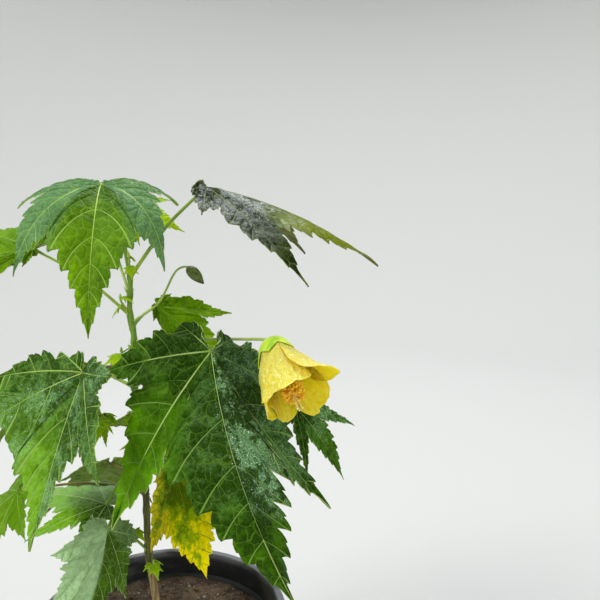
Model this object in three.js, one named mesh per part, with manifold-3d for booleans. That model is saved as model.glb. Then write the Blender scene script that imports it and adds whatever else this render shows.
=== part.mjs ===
// A flowering maple (abutilon) shrub in a round nursery pot: one slender stem, long-stalked lobed leaves that
// hang from its knots in sprays, a nodding yellow bell flower and a bud.
// Millimetres, +Z up. The origin is the centre of the pot's flat underside. The flower side faces -Y.
import * as THREE from "three";
import { mergeVertices } from "three/addons/utils/BufferGeometryUtils.js";
import Module from "manifold-3d";

const wasm = await Module();
wasm.setup();

// Driving dimensions
const pot = { rimRadius: 90, footRadius: 64, height: 150, wall: 2, lip: 3.5, band: 22, step: 3, sides: 40 };
const drain = { count: 6, radius: 5, circle: 44, sides: 10 };
const soil = { middle: 132, edge: 129, flat: 10 }; // two heights, and the level patch's radius round the stem
const seat = 0.3; // clearance left between solids that touch
const tidy = 0.05; // slivers under this are merged once a piece is fused

const stem = { height: 290, footRadius: 2.8, radius: 2.2, tipRadius: 1.3, sides: 8, steps: 44 };
const flare = { width: 1.6, height: 9 }; // of the stem's foot
const knotSwell = { width: 0.6, height: 3.5 };
const evenShare = 0.4; // the stem thins slowly over this share of its height, and then towards its tip
const stemFoot = soil.middle + seat;
// The stem's lean: sideways and depth offsets at heights above its foot.
const stemBends = [
  [0, -2, 0], [28, -4, 0], [66, -8, -1], [112, -9, 0], [148, -13, 1], [170, -12, 0], [198, -15, -1],
  [220, -13, 0], [238, -15.5, 1], [262, -14, -1], [290, -18, -2],
];

const stalk = { radius: 1.25, ofBlade: 150, swell: 1.3, arch: 0.06, sides: 5, steps: 6 };
const leafThickness = 0.011; // share of the blade's length
const leastThickness = 0.6;
const twig = { radius: 0.9, stalk: 0.5, sides: 3 }; // of a young shoot and of its leaves' stalks
const youngStalk = 0.45; // length of a young leaf's stalk, as a share of its blade
const spiral = 137.5; // turn from one young leaf to the next

// One lobed blade, flat, in shares of its length: each main vein's turn from the midrib and its reach, the
// half width of its lobe, and where the margin dips in between it and the next lobe out.
const lobes = [
  { turn: 0, reach: 1.0, half: 0.21, dipTurn: 27, dip: 0.45 },
  { turn: 46, reach: 0.78, half: 0.17, dipTurn: 71, dip: 0.35 },
  { turn: 95, reach: 0.52, half: 0.13, dipTurn: 118, dip: 0.24 },
  { turn: 140, reach: 0.3, half: 0.09, dipTurn: 168, dip: 0.08 },
];
const tooth = { at: 0.6, notchAt: 0.68, notchHalf: 0.6 }; // shares of the vein, and of the lobe's half width
const veinBends = [0.42, 0.7]; // where a blade may bend along a vein
const basalTurns = [60, 90]; // over these turns from the midrib a leaf's own basal share takes hold

// The sprays, one for each knot of the stem. knot is its height above the foot. A leaf's seat is where its
// stalk meets the blade. aim, hang and roll turn the blade: the heading of its midrib from +X, how far that
// dips, and the turn about it. curl bends the blade down from the seat, folds drop its left and right halves,
// spread opens or closes their lobes, and basal shortens the hindmost ones. A shoot is a short twig with young
// leaves, placed by a seeded rule.
const sprays = {
  top_spray: {
    knot: 284,
    leaves: [
      { seat: [-19, -40, 454], blade: 108, aim: -79, hang: 15, roll: -5, curl: 105, folds: [-18, -6] },
      { seat: [-24, 27, 447], blade: 48, aim: 0, hang: 24, roll: 40, curl: 15, folds: [10, 10] },
    ],
    shoot: { heading: 150, rise: 62, length: 26, count: 4, size: 26, seed: 11 },
  },
  upper_right_spray: {
    knot: 262,
    leaves: [
      { seat: [40, -10, 454], blade: 124, aim: 0, hang: 10, roll: 4, curl: 30, folds: [18, 25],
        spread: [0.9, 0.78], basal: [0.6, 0.5] },
    ],
    shoot: { heading: -80, rise: 70, length: 14, count: 2, size: 9, seed: 3 },
  },
  back_top_spray: {
    knot: 250,
    leaves: [
      { seat: [-50, 46, 440], blade: 74, aim: 110, hang: 35, roll: 0, curl: 30, folds: [12, 12],
        spread: [0.6, 0.6], basal: [0.6, 0.6] },
    ],
  },
  upper_left_spray: {
    knot: 236,
    leaves: [
      { seat: [-72, -14, 414], blade: 88, aim: 192, hang: 5, roll: -42, curl: 30, folds: [15, 12],
        spread: [0.45, 1], basal: [0.3, 0.8] },
    ],
    shoot: { heading: 200, rise: 60, length: 12, count: 2, size: 12, seed: 5 },
  },
  right_back_spray: {
    knot: 228,
    leaves: [
      { seat: [-3, 28, 371], blade: 80, aim: 8, hang: 38, roll: 50, curl: 10, folds: [4, 2],
        spread: [0.8, 0.58], basal: [0.4, 0.3] },
    ],
  },
  back_right_spray: {
    knot: 208,
    leaves: [{ seat: [46, 60, 326], blade: 118, aim: 50, hang: 58, roll: -10, curl: 25, folds: [15, 10] }],
  },
  left_middle_spray: {
    knot: 198,
    leaves: [
      { seat: [-32, -48, 341], blade: 104, aim: -114, hang: 66, roll: 12, curl: -6, folds: [-12, -8],
        spread: [1, 0.87], basal: [0.75, 1.42] },
    ],
  },
  back_left_spray: {
    knot: 186,
    leaves: [
      { seat: [-84, 52, 320], blade: 104, aim: 160, hang: 55, roll: 10, curl: 30, folds: [12, 12],
        basal: [0.5, 0.5] },
    ],
    shoot: { heading: 120, rise: 30, length: 36, count: 3, size: 28, seed: 17 },
  },
  front_spray: {
    knot: 176,
    leaves: [
      { seat: [48, -60, 357], blade: 150, aim: -61, hang: 50, roll: 35, curl: 24, folds: [62, 6],
        spread: [0.75, 1.1], basal: [0.75, 1] },
    ],
  },
  right_low_spray: {
    knot: 168,
    leaves: [
      { seat: [96, 4, 304], blade: 64, aim: -25, hang: 46, roll: 40, curl: 30, folds: [5, 20],
        spread: [0.83, 0.55], basal: [0.4, 0.5] },
    ],
  },
  small_leaf_spray: {
    knot: 157,
    shoot: { heading: 215, rise: 20, length: 26, count: 4, size: 30, seed: 4 },
  },
  yellow_leaf_spray: {
    knot: 147,
    leaves: [
      { seat: [16, -18, 266], blade: 72, aim: -65, hang: 45, roll: 42, curl: 18, folds: [8, 14],
        basal: [1, 0.6] },
    ],
  },
  low_left_spray: {
    knot: 137,
    leaves: [
      { seat: [-26, -33, 249], blade: 66, aim: 165, hang: -10, roll: -5, curl: 27, folds: [14, 5] },
      { seat: [-21, -50, 240], blade: 68, aim: -97, hang: 59, roll: -52, curl: 28, folds: [16, 6],
        spread: [0.85, 1] },
    ],
  },
  back_middle_spray: {
    knot: 128,
    leaves: [{ seat: [2, 60, 282], blade: 106, aim: 88, hang: 52, roll: 0, curl: 25, folds: [12, 12] }],
    shoot: { heading: 95, rise: 30, length: 28, count: 3, size: 24, seed: 21 },
  },
  back_low_left_spray: {
    knot: 112,
    leaves: [
      { seat: [-92, -16, 250], blade: 74, aim: 178, hang: 38, roll: -25, curl: 30, folds: [10, 10] },
      { seat: [-46, 42, 246], blade: 80, aim: 130, hang: 45, roll: 10, curl: 25, folds: [10, 12] },
    ],
  },
  back_low_right_spray: {
    knot: 96,
    leaves: [{ seat: [44, 36, 228], blade: 76, aim: 30, hang: 40, roll: -10, curl: 30, folds: [12, 10] }],
  },
  low_bud_spray: {
    knot: 66,
    shoot: { heading: 195, rise: 50, length: 26, count: 3, size: 16, seed: 2 },
  },
  foot_shoot: {
    knot: 54,
    shoot: { heading: -60, rise: 30, length: 8, count: 3, size: 11, seed: 9 },
  },
};

// The bell flower and its bud, each on a stalk of its own that leaves the stem at a knot. face is the way the
// flower looks out, and via are the places that its stalk passes.
const flower = {
  knot: 218, via: [[18, -8, 353], [58, -30, 358]], seat: [83, -60, 363], face: [0.33, -0.75, -0.57],
  length: 46, throat: 7, mouth: 21.5, dome: 7, wall: 1.2, stalk: 0.8,
  petals: 5, scallop: 0.12, flute: 0.1, flare: 7, flareTurn: 65,
  calyx: { length: 15, radius: 12.4, neck: 2.5 },
  column: { length: 36, radius: 1.6, head: 4.5 },
};
const bud = {
  knot: 231, via: [[4.7, -3, 377], [19, -6, 400]], seat: [25.5, -7, 402], face: [0.7, -0.1, -0.7],
  length: 16, radius: 3.9, stalk: 0.6,
};

const vector = (list) => new THREE.Vector3(...list);
const radians = THREE.MathUtils.degToRad;
const lerp = THREE.MathUtils.lerp;
const polar = (turn, reach) => [reach * Math.sin(radians(turn)), reach * Math.cos(radians(turn))];
const stemAxis = new THREE.CatmullRomCurve3(stemBends.map(([up, x, y]) => vector([x, y, stemFoot + up])));

// The stem's axis at a height above its foot.
function stemPoint(height) {
  return stemAxis.getPoint(stemShare(height));
}

// The curve's own share for a height, found by halving, because its points are unevenly spaced.
function stemShare(height) {
  let [low, high] = [0, 1];
  for (let i = 0; i < 24; i++) {
    const middle = (low + high) / 2;
    if (stemAxis.getPoint(middle).z - stemFoot < height) low = middle;
    else high = middle;
  }
  return low;
}

// Repeatable random numbers between 0 and 1.
function seeded(seed) {
  let state = seed * 7919;
  const draw = () => {
    state = (state * 16807) % 2147483647;
    return state / 2147483647;
  };
  draw();
  return draw;
}

// A closed three.js geometry as a solid.
function solidFrom(geometry) {
  const bare = geometry.clone();
  bare.deleteAttribute("normal");
  bare.deleteAttribute("uv");
  const merged = mergeVertices(bare, 1e-4);
  return new wasm.Manifold(
    new wasm.Mesh({
      numProp: 3,
      vertProperties: new Float32Array(merged.attributes.position.array),
      triVerts: new Uint32Array(merged.index.array),
    }),
  );
}

// A solid as a named three.js mesh. Only its largest body is kept, so that a cut leaves no scrap.
function meshFrom(name, solid, material) {
  const [body] = solid.decompose().sort((a, b) => b.volume() - a.volume());
  const raw = body.asOriginal().simplify(tidy).getMesh();
  const places = new Float32Array(raw.numVert * 3);
  for (let i = 0; i < raw.numVert; i++) {
    places.set(raw.vertProperties.subarray(i * raw.numProp, i * raw.numProp + 3), i * 3);
  }
  const geometry = new THREE.BufferGeometry();
  geometry.setAttribute("position", new THREE.BufferAttribute(places, 3));
  geometry.setIndex(new THREE.BufferAttribute(new Uint32Array(raw.triVerts), 1));
  geometry.computeVertexNormals();
  const mesh = new THREE.Mesh(geometry, material);
  mesh.name = name;
  return mesh;
}

// A solid turned about Z from a profile of [radius, height] pairs.
function turned(profile, sides) {
  const points = profile.map(([radius, height]) => new THREE.Vector2(radius, height));
  return new THREE.LatheGeometry(points, sides).rotateX(Math.PI / 2);
}

// Carries a shape turned about Z to a seat, with its axis along a direction.
function setAlong(geometry, place, direction) {
  const turn = new THREE.Quaternion().setFromUnitVectors(new THREE.Vector3(0, 0, 1), direction);
  return geometry.applyQuaternion(turn).translate(place.x, place.y, place.z);
}

// A limb along a curve, round in section, with its radius given at each share of the way.
function limb(curve, radiusAt, sides, steps) {
  const profile = [[0, 0]];
  for (let i = 0; i <= steps; i++) profile.push([radiusAt(i / steps), i / steps]);
  profile.push([0, 1]);
  const geometry = turned(profile, sides);
  const place = geometry.attributes.position;
  const first = Math.abs(curve.getTangent(0).y) > 0.9 ? vector([1, 0, 0]) : vector([0, 1, 0]);
  for (let i = 0; i < place.count; i++) {
    const share = THREE.MathUtils.clamp(place.getZ(i), 0, 1);
    const ahead = curve.getTangent(share);
    const across = new THREE.Vector3().crossVectors(first, ahead).normalize();
    const over = new THREE.Vector3().crossVectors(ahead, across);
    const point = curve.getPoint(share);
    point.addScaledVector(across, place.getX(i)).addScaledVector(over, place.getY(i));
    place.setXYZ(i, point.x, point.y, point.z);
  }
  return solidFrom(geometry);
}

// The main stem, tapering, with a flare at its foot and a low swelling at each knot. clear makes it fatter, as
// the cutter that keeps the sprays off it.
function stemSolid(clear) {
  const knots = [...Object.values(sprays), flower, bud].map(({ knot }) => knot);
  const radiusAt = (share) => {
    const height = stemAxis.getPoint(share).z - stemFoot;
    const way = height / stem.height;
    const taper = way < evenShare
      ? lerp(stem.footRadius, stem.radius, way / evenShare)
      : lerp(stem.radius, stem.tipRadius, ((way - evenShare) / (1 - evenShare)) ** 2);
    const swell = knots.reduce((sum, knot) => sum + Math.exp(-(((height - knot) / knotSwell.height) ** 2)), 0);
    return taper + flare.width * Math.exp(-height / flare.height) + knotSwell.width * Math.min(swell, 1) + clear;
  };
  const solid = limb(stemAxis, radiusAt, stem.sides, stem.steps);
  return solid.trimByPlane([0, 0, 1], stemFoot - clear);
}

// The frame of a blade: along its midrib, out of its upper face, and to its right.
function bladeFrame({ aim, hang, roll }) {
  const [a, h, r] = [aim, hang, roll].map(radians);
  const along = new THREE.Vector3(Math.cos(a) * Math.cos(h), Math.sin(a) * Math.cos(h), -Math.sin(h));
  const level = new THREE.Vector3(Math.cos(a) * Math.sin(h), Math.sin(a) * Math.sin(h), Math.cos(h));
  const side = new THREE.Vector3().crossVectors(along, level);
  const up = level.multiplyScalar(Math.cos(r)).addScaledVector(side, Math.sin(r));
  return { along, up, right: new THREE.Vector3().crossVectors(along, up) };
}

// Where a point of the flat blade lies once the leaf hangs in place: half is 0 on its left and 1 on its
// right, and across and ahead are shares of its length.
function bladePoint(leaf, half, across, ahead) {
  const flatTurn = Math.atan2(Math.abs(across), ahead);
  const behind = THREE.MathUtils.smoothstep(flatTurn, ...basalTurns.map(radians));
  const reach = Math.hypot(across, ahead) * lerp(1, leaf.basal ? leaf.basal[half] : 1, behind);
  const spread = leaf.spread ? leaf.spread[half] : 1;
  const turn = flatTurn * (1 + (spread - 1) * (1 - (flatTurn / Math.PI) ** 2));
  const bend = radians(leaf.curl) || 1e-3;
  const out = Math.sin(bend * reach) / bend;
  const fold = radians(leaf.folds[half]);
  const sideways = out * Math.sin(turn);
  const drop = (1 - Math.cos(bend * reach)) / bend + sideways * Math.sin(fold);
  const { along, up, right } = bladeFrame(leaf);
  return vector(leaf.seat)
    .addScaledVector(right, sideways * Math.cos(fold) * leaf.blade * (half ? 1 : -1))
    .addScaledVector(along, out * Math.cos(turn) * leaf.blade)
    .addScaledVector(up, -drop * leaf.blade);
}

// A flat blade as points and triangles. Each half lobe is a strip between its vein and its margin, with one
// large tooth, or a single triangle on a small leaf.
function flatBlade(small) {
  const points = [];
  const faces = [];
  const known = new Map();
  const at = (half, [across, ahead]) => {
    const side = Math.abs(across) < 1e-6 ? 1 : half;
    const key = [side, across.toFixed(4), ahead.toFixed(4)].join();
    if (!known.has(key)) known.set(key, points.push([side, across, ahead]) - 1);
    return known.get(key);
  };
  const beside = ({ turn, reach }, along, aside) => {
    const [across, ahead] = polar(turn, 1);
    return [across * along * reach + ahead * aside, ahead * along * reach - across * aside];
  };
  for (const half of [0, 1]) {
    lobes.forEach((lobe, i) => {
      for (const outward of i ? [-1, 1] : [1]) {
        const { dipTurn, dip } = outward > 0 ? lobe : lobes[i - 1];
        const [base, low, tip] = [[0, 0], polar(dipTurn, dip), beside(lobe, 1, 0)].map((p) => at(half, p));
        let strip = [[base, tip, low]];
        if (!small) {
          const [near, far] = veinBends.map((share) => at(half, beside(lobe, share, 0)));
          const big = at(half, beside(lobe, tooth.at, lobe.half * outward));
          const notch = at(half, beside(lobe, tooth.notchAt, lobe.half * outward * tooth.notchHalf));
          strip = [[base, near, low], [near, big, low], [near, far, big], [far, notch, big], [far, tip, notch]];
        }
        for (const [a, b, c] of strip) faces.push(outward > 0 === (half === 1) ? [a, c, b] : [a, b, c]);
      }
    });
  }
  return { points, faces };
}

const fullBlade = flatBlade(false);
const smallBlade = flatBlade(true);

// The solid of one blade: its surface given thickness and closed round its margin.
function bladeSolid(leaf, { points, faces }) {
  const half = Math.max(leaf.blade * leafThickness, leastThickness) / 2;
  const places = points.map(([side, across, ahead]) => bladePoint(leaf, side, across, ahead));
  const normals = places.map(() => new THREE.Vector3());
  for (const [a, b, c] of faces) {
    const normal = new THREE.Triangle(places[a], places[b], places[c]).getNormal(new THREE.Vector3());
    for (const k of [a, b, c]) normals[k].add(normal);
  }
  const offset = (k, way) => places[k].clone().addScaledVector(normals[k].clone().normalize(), half * way);
  const triangles = [];
  const open = new Map();
  for (const [a, b, c] of faces) {
    triangles.push(offset(a, 1), offset(b, 1), offset(c, 1), offset(c, -1), offset(b, -1), offset(a, -1));
    for (const [from, to] of [[a, b], [b, c], [c, a]]) {
      if (!open.delete(to + "," + from)) open.set(from + "," + to, [from, to]);
    }
  }
  for (const [from, to] of open.values()) {
    triangles.push(offset(from, 1), offset(from, -1), offset(to, -1));
    triangles.push(offset(from, 1), offset(to, -1), offset(to, 1));
  }
  return solidFrom(new THREE.BufferGeometry().setFromPoints(triangles));
}

// A stalk from the stem to a blade's seat, arching a little.
function stalkSolid(start, leaf) {
  const end = vector(leaf.seat);
  const middle = start.clone().lerp(end, 0.5);
  middle.z += stalk.arch * start.distanceTo(end);
  const thick = stalk.radius * Math.sqrt(leaf.blade / stalk.ofBlade);
  const curve = new THREE.CatmullRomCurve3([start, middle, end]);
  return limb(curve, (share) => thick * lerp(stalk.swell, 1, share), stalk.sides, stalk.steps);
}

// A straight twig or young stalk, sunk a little past its end.
function twigSolid(start, end, radius) {
  const past = end.clone().addScaledVector(end.clone().sub(start).normalize(), radius);
  return limb(new THREE.LineCurve3(start, past), (share) => radius * lerp(1.2, 0.8, share), twig.sides, 1);
}

// The young leaves of a shoot: they leave its twig in a spiral, the later ones smaller.
function shootLeaves(start, { heading, rise, length, count, size, seed }) {
  const draw = seeded(seed);
  const [turn, up] = [heading, rise].map(radians);
  const way = new THREE.Vector3(Math.cos(turn) * Math.cos(up), Math.sin(turn) * Math.cos(up), Math.sin(up));
  const tip = start.clone().addScaledVector(way, length);
  const leaves = [];
  for (let i = 0; i < count; i++) {
    const share = lerp(0.4, 1, i / Math.max(count - 1, 1));
    const blade = size * lerp(1.1, 0.6, share) * lerp(0.85, 1.15, draw());
    const aim = heading + spiral * i + 30 * (draw() - 0.5);
    const reach = youngStalk * blade;
    const from = start.clone().addScaledVector(way, length * share);
    const [north, east] = polar(aim, reach);
    const place = from.clone().add(vector([east, north, reach * lerp(0.5, 0.9, draw())]));
    const hang = lerp(15, 50, draw());
    const roll = 30 * (draw() - 0.5);
    leaves.push({ from, leaf: { seat: place.toArray(), blade, aim, hang, roll, curl: 25, folds: [12, 12] } });
  }
  return { tip, leaves };
}

// A spray: what leaves the stem at one knot, fused together and cut clear of the stem.
function spraySolid({ knot, leaves = [], shoot }, cutter) {
  const start = stemPoint(knot);
  const pieces = leaves.flatMap((leaf) => [stalkSolid(start, leaf), bladeSolid(leaf, fullBlade)]);
  if (shoot) {
    const { tip, leaves: young } = shootLeaves(start, shoot);
    pieces.push(twigSolid(start, tip, twig.radius));
    for (const { from, leaf } of young) {
      pieces.push(twigSolid(from, vector(leaf.seat), twig.stalk), bladeSolid(leaf, smallBlade));
    }
  }
  return wasm.Manifold.union(pieces).subtract(cutter);
}

// The stalk of a flower or bud, from its knot by way of its bends to its seat.
function flowerStalk({ knot, via, seat: end, face, stalk: radius }) {
  const sunk = vector(end).addScaledVector(vector(face).normalize(), 1.5);
  const curve = new THREE.CatmullRomCurve3([stemPoint(knot), ...via.map(vector), vector(end), sunk]);
  return limb(curve, (share) => radius * lerp(1.4, 1, share), 6, 16);
}

// The bell: five petals in one fluted skirt with a domed top and a scalloped mouth. The petal at flareTurn flares
// out.
function bellSolid() {
  const { length, throat, mouth, dome, wall, petals, scallop, flute } = flower;
  const rows = [0.04, 0.12, 0.3, 0.55, 0.8, 1];
  const radiusAt = (share) => {
    const near = Math.min((share * length) / dome, 1);
    return lerp(throat, mouth, share) * Math.sqrt(1 - (1 - near) ** 2);
  };
  const outer = rows.map((share) => [radiusAt(share), length * share]);
  const inner = rows.slice(1).reverse().map((share) => [radiusAt(share) - wall, length * share]);
  const geometry = turned([[0, 0], ...outer, ...inner, [0, wall * 2]], petals * 6);
  const place = geometry.attributes.position;
  for (let i = 0; i < place.count; i++) {
    const [x, y, z] = [place.getX(i), place.getY(i), place.getZ(i)];
    const share = z / length;
    const turn = Math.atan2(y, x) - radians(flower.flareTurn);
    const wave = Math.cos(turn * petals);
    const flaring = (flower.flare / mouth) * share ** 3 * Math.max(Math.cos(turn), 0) ** 8;
    const spread = 1 + flute * wave * share + flaring;
    place.setXYZ(i, x * spread, y * spread, z * (1 + (scallop / 2) * (wave - 1) * share));
  }
  return geometry;
}

function flowerSolid(cutter) {
  const { length: depth, radius, neck } = flower.calyx;
  const { length: reach, radius: thin, head } = flower.column;
  const calyx = turned([[0, -1], [neck, -1], [radius * 0.72, depth * 0.3], [radius, depth], [0, depth]], 20);
  const column = turned([
    [0, 1], [thin, 1], [thin, reach - head], [head, reach - head / 2], [head * 0.6, reach + head / 2],
    [0, reach + head / 2],
  ], 10);
  const place = vector(flower.seat);
  const face = vector(flower.face).normalize();
  const shapes = [calyx, bellSolid(), column].map((shape) => solidFrom(setAlong(shape, place, face)));
  return wasm.Manifold.union([flowerStalk(flower), ...shapes]).subtract(cutter);
}

function budSolid(cutter) {
  const { length, radius } = bud;
  const profile = [
    [0, 0], [radius * 0.6, 0.6], [radius, length * 0.35], [radius * 0.75, length * 0.7], [0, length],
  ];
  const shape = solidFrom(setAlong(turned(profile, 12), vector(bud.seat), vector(bud.face).normalize()));
  return wasm.Manifold.union([flowerStalk(bud), shape]).subtract(cutter);
}

// The radius of the pot's inner wall at a height below its band.
function potInside(height) {
  const { rimRadius, footRadius, height: tall, wall, lip, band, step } = pot;
  return lerp(footRadius, rimRadius - lip - step, height / (tall - band)) - wall;
}

// The pot: a tapering turned shell with a straight band and a lip at its top, and a flat foot with drain
// holes round its centre.
function potSolid() {
  const { rimRadius, footRadius, height, wall, lip, band, step, sides } = pot;
  const bandRadius = rimRadius - lip;
  const shell = turned([
    [0, 0], [footRadius, 0], [bandRadius - step, height - band], [bandRadius, height - band],
    [bandRadius, height - lip], [rimRadius, height - lip], [rimRadius, height], [bandRadius - wall, height],
    [bandRadius - wall, height - band + wall], [potInside(height - band), height - band],
    [potInside(wall), wall], [0, wall],
  ], sides);
  const hole = new THREE.CylinderGeometry(drain.radius, drain.radius, wall * 4, drain.sides);
  hole.rotateX(Math.PI / 2);
  let solid = solidFrom(shell);
  for (let i = 0; i < drain.count; i++) {
    const turn = (i / drain.count) * 2 * Math.PI;
    const place = [drain.circle * Math.cos(turn), drain.circle * Math.sin(turn), 0];
    solid = solid.subtract(solidFrom(hole.clone().translate(...place)));
  }
  return solid;
}

// The potting soil, clear of the pot all round, a little higher in the middle.
function soilSolid() {
  const { wall, height, band } = pot;
  const floor = wall + seat;
  const bandFoot = height - band - seat;
  return solidFrom(turned([
    [0, floor], [potInside(floor) - seat, floor], [potInside(bandFoot) - seat, bandFoot],
    [potInside(bandFoot) - seat, soil.edge], [soil.flat, soil.middle], [0, soil.middle],
  ], pot.sides));
}

const paint = (color, roughness) => new THREE.MeshStandardMaterial({ color, roughness, metalness: 0 });
const leafPaint = paint("#3f7a1c", 0.45);
const yellowingPaint = paint("#9aa52a", 0.5);
const cutter = stemSolid(seat);

const shrub = new THREE.Group();
shrub.add(meshFrom("nursery_pot", potSolid(), paint("#1d2124", 0.5)));
shrub.add(meshFrom("potting_soil", soilSolid(), paint("#5b4a3a", 0.95)));
shrub.add(meshFrom("main_stem", stemSolid(0), paint("#7a7a35", 0.6)));
for (const [name, spray] of Object.entries(sprays)) {
  const finish = name === "yellow_leaf_spray" ? yellowingPaint : leafPaint;
  shrub.add(meshFrom(name, spraySolid(spray, cutter), finish));
}
shrub.add(meshFrom("bell_flower", flowerSolid(cutter), paint("#f0cf2e", 0.6)));
shrub.add(meshFrom("flower_bud", budSolid(cutter), paint("#8c9a3a", 0.6)));

export default shrub;
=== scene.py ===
import math
import random

import bmesh
import bpy
import numpy as np
from mathutils import Matrix, Vector, noise


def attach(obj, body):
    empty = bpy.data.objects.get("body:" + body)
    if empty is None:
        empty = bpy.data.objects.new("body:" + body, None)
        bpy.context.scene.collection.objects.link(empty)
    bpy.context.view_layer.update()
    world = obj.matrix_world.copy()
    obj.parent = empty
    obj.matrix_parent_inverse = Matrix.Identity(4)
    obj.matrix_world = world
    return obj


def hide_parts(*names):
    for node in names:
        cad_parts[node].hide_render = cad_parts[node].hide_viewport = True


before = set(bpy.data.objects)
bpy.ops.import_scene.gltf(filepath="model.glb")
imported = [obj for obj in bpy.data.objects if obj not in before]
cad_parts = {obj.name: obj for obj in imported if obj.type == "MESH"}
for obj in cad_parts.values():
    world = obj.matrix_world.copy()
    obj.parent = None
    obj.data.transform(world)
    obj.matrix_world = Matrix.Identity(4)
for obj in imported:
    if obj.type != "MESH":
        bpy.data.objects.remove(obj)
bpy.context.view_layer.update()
print("frame: CAD model loaded")

mm = 0.001  # the plant's own numbers below are millimetres, and every mesh is made in metres


def lerp(a, b, share):
    return a + (b - a) * share


def smoothstep(x, low, high):
    share = np.clip((x - low) / (high - low), 0, 1)
    return share * share * (3 - 2 * share)


def colour(red, green, blue):  # 0 to 255 on screen, to the shader's linear light
    def linear(value):
        value /= 255
        return value / 12.92 if value <= 0.04045 else ((value + 0.055) / 1.055) ** 2.4
    return linear(red), linear(green), linear(blue), 1.0


# Materials

def newPaint(name):
    material = bpy.data.materials.new(name)
    material.use_nodes = True
    return material, material.node_tree.nodes["Principled BSDF"]


def add(material, kind, inputs=None, **settings):
    tree = material.node_tree
    node = tree.nodes.new("ShaderNode" + kind)
    for key, value in settings.items():
        setattr(node, key, value)
    for key, value in (inputs or {}).items():
        if isinstance(value, bpy.types.NodeSocket):
            tree.links.new(value, node.inputs[key])
        else:
            node.inputs[key].default_value = value
    return node


def mixed(material, share, first, second, blend="MIX"):
    inputs = {0: share, 6: first, 7: second}
    return add(material, "Mix", inputs, data_type="RGBA", blend_type=blend).outputs[2]


def ramped(material, value, low, high, start=0.0, end=1.0):
    inputs = {0: value, 1: low, 2: high, 3: start, 4: end}
    return add(material, "MapRange", inputs, interpolation_type="SMOOTHSTEP").outputs[0]


def reckon(material, operation, first, second=0.5):
    return add(material, "Math", {0: first, 1: second}, operation=operation).outputs[0]


def place(material, stretch=(1, 1, 1)):
    here = add(material, "TexCoord").outputs["Object"]
    return add(material, "Mapping", {"Vector": here, "Scale": stretch}).outputs[0]


def grain(material, where, scale, detail=3.0, roughness=0.55):
    inputs = {"Vector": where, "Scale": scale, "Detail": detail, "Roughness": roughness}
    return add(material, "TexNoise", inputs).outputs["Fac"]


def join(material, shader, **sockets):
    for key, value in sockets.items():
        name = {"base": "Base Color", "rough": "Roughness", "normal": "Normal"}[key]
        material.node_tree.links.new(value, shader.inputs[name])


def bump(material, height, depth, strength=1.0, under=None):
    inputs = {"Height": height, "Distance": depth, "Strength": strength}
    if under is not None:
        inputs["Normal"] = under
    return add(material, "Bump", inputs).outputs[0]


def finish(shader, **values):
    names = {"specular": "Specular IOR Level", "coat": "Coat Weight", "coatRough": "Coat Roughness",
             "sheen": "Sheen Weight", "sheenRough": "Sheen Roughness", "rough": "Roughness",
             "tint": "Specular Tint", "within": "Subsurface Weight",
             "depth": "Subsurface Scale", "reach": "Subsurface Radius", "clear": "Transmission Weight"}
    for key, value in values.items():
        shader.inputs[names[key]].default_value = value


# Leaf colours, 0 to 255. near is the blade at its veins' junction, bright its tips and sunlit lobes, middle
# between them. bloom is the colour of a painted sheen, the sky's reflection painted where the blade is wet,
# mist how even that painted sheen is, points how bright its painted white glints are, and patchy how blotched
# the blade is.
leafTones = {
    "deep": {"near": (24, 54, 0), "bright": (92, 148, 0), "vein": (158, 186, 96), "side": (104, 140, 44),
             "back": (124, 160, 34), "rough": 0.42},
    "lush": {"near": (54, 98, 0), "bright": (122, 168, 0), "vein": (162, 194, 84), "side": (138, 176, 66),
             "back": (136, 172, 36), "rough": 0.42},
    "satin": {"near": (48, 84, 0), "bright": (116, 164, 0), "vein": (162, 194, 84), "side": (138, 176, 66),
              "back": (136, 172, 36), "rough": 0.42, "bloom": (104, 150, 108), "mist": 0.75, "points": 0.15},
    "dusk": {"near": (32, 68, 0), "bright": (114, 168, 0), "vein": (160, 190, 90), "side": (130, 166, 64),
             "back": (124, 162, 34), "rough": 0.42},
    "olive": {"near": (20, 34, 0), "bright": (112, 124, 8), "vein": (120, 130, 50), "side": (86, 98, 34),
              "back": (112, 112, 24), "rough": 0.34, "bloom": (176, 182, 190)},
    "mid": {"near": (84, 128, 0), "bright": (136, 176, 0), "vein": (140, 170, 44), "side": (110, 144, 20),
            "back": (136, 170, 30), "rough": 0.46},
    "frosty": {"near": (56, 86, 0), "bright": (104, 156, 4), "vein": (182, 204, 140), "side": (150, 182, 110),
               "back": (150, 184, 76), "rough": 0.5, "bloom": (168, 204, 150), "mist": 0.7, "points": 0.3},
    "young": {"near": (128, 170, 0), "bright": (184, 212, 4), "vein": (190, 212, 60), "side": (166, 200, 30),
              "back": (172, 204, 30), "rough": 0.5},
    "yellowing": {"near": (84, 110, 0), "middle": (146, 172, 0), "bright": (244, 226, 0),
                  "vein": (150, 158, 30), "side": (120, 136, 10), "back": (180, 168, 24), "rough": 0.5,
                  "patchy": 2.2},
}
# bloom is the painted sheen's colour and point the painted white glints' colour, both standing in for
# reflected light; shine tints the real specular reflection
leafSheen = {"bloom": (110, 160, 106), "point": (206, 222, 208), "shine": (0.8, 1.0, 0.5, 1.0)}
leafGrain = {  # how many to a metre of the blotches, spots and specks, and to a centimetre of the net's cells
    "broad": 60.0, "spots": 250.0, "specks": 1300.0, "cell": 1.5, "fineCell": 6.0,
    "cellDepth": 0.45 * mm, "fineDepth": 0.12 * mm, "netShare": 0.34,
}


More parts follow.
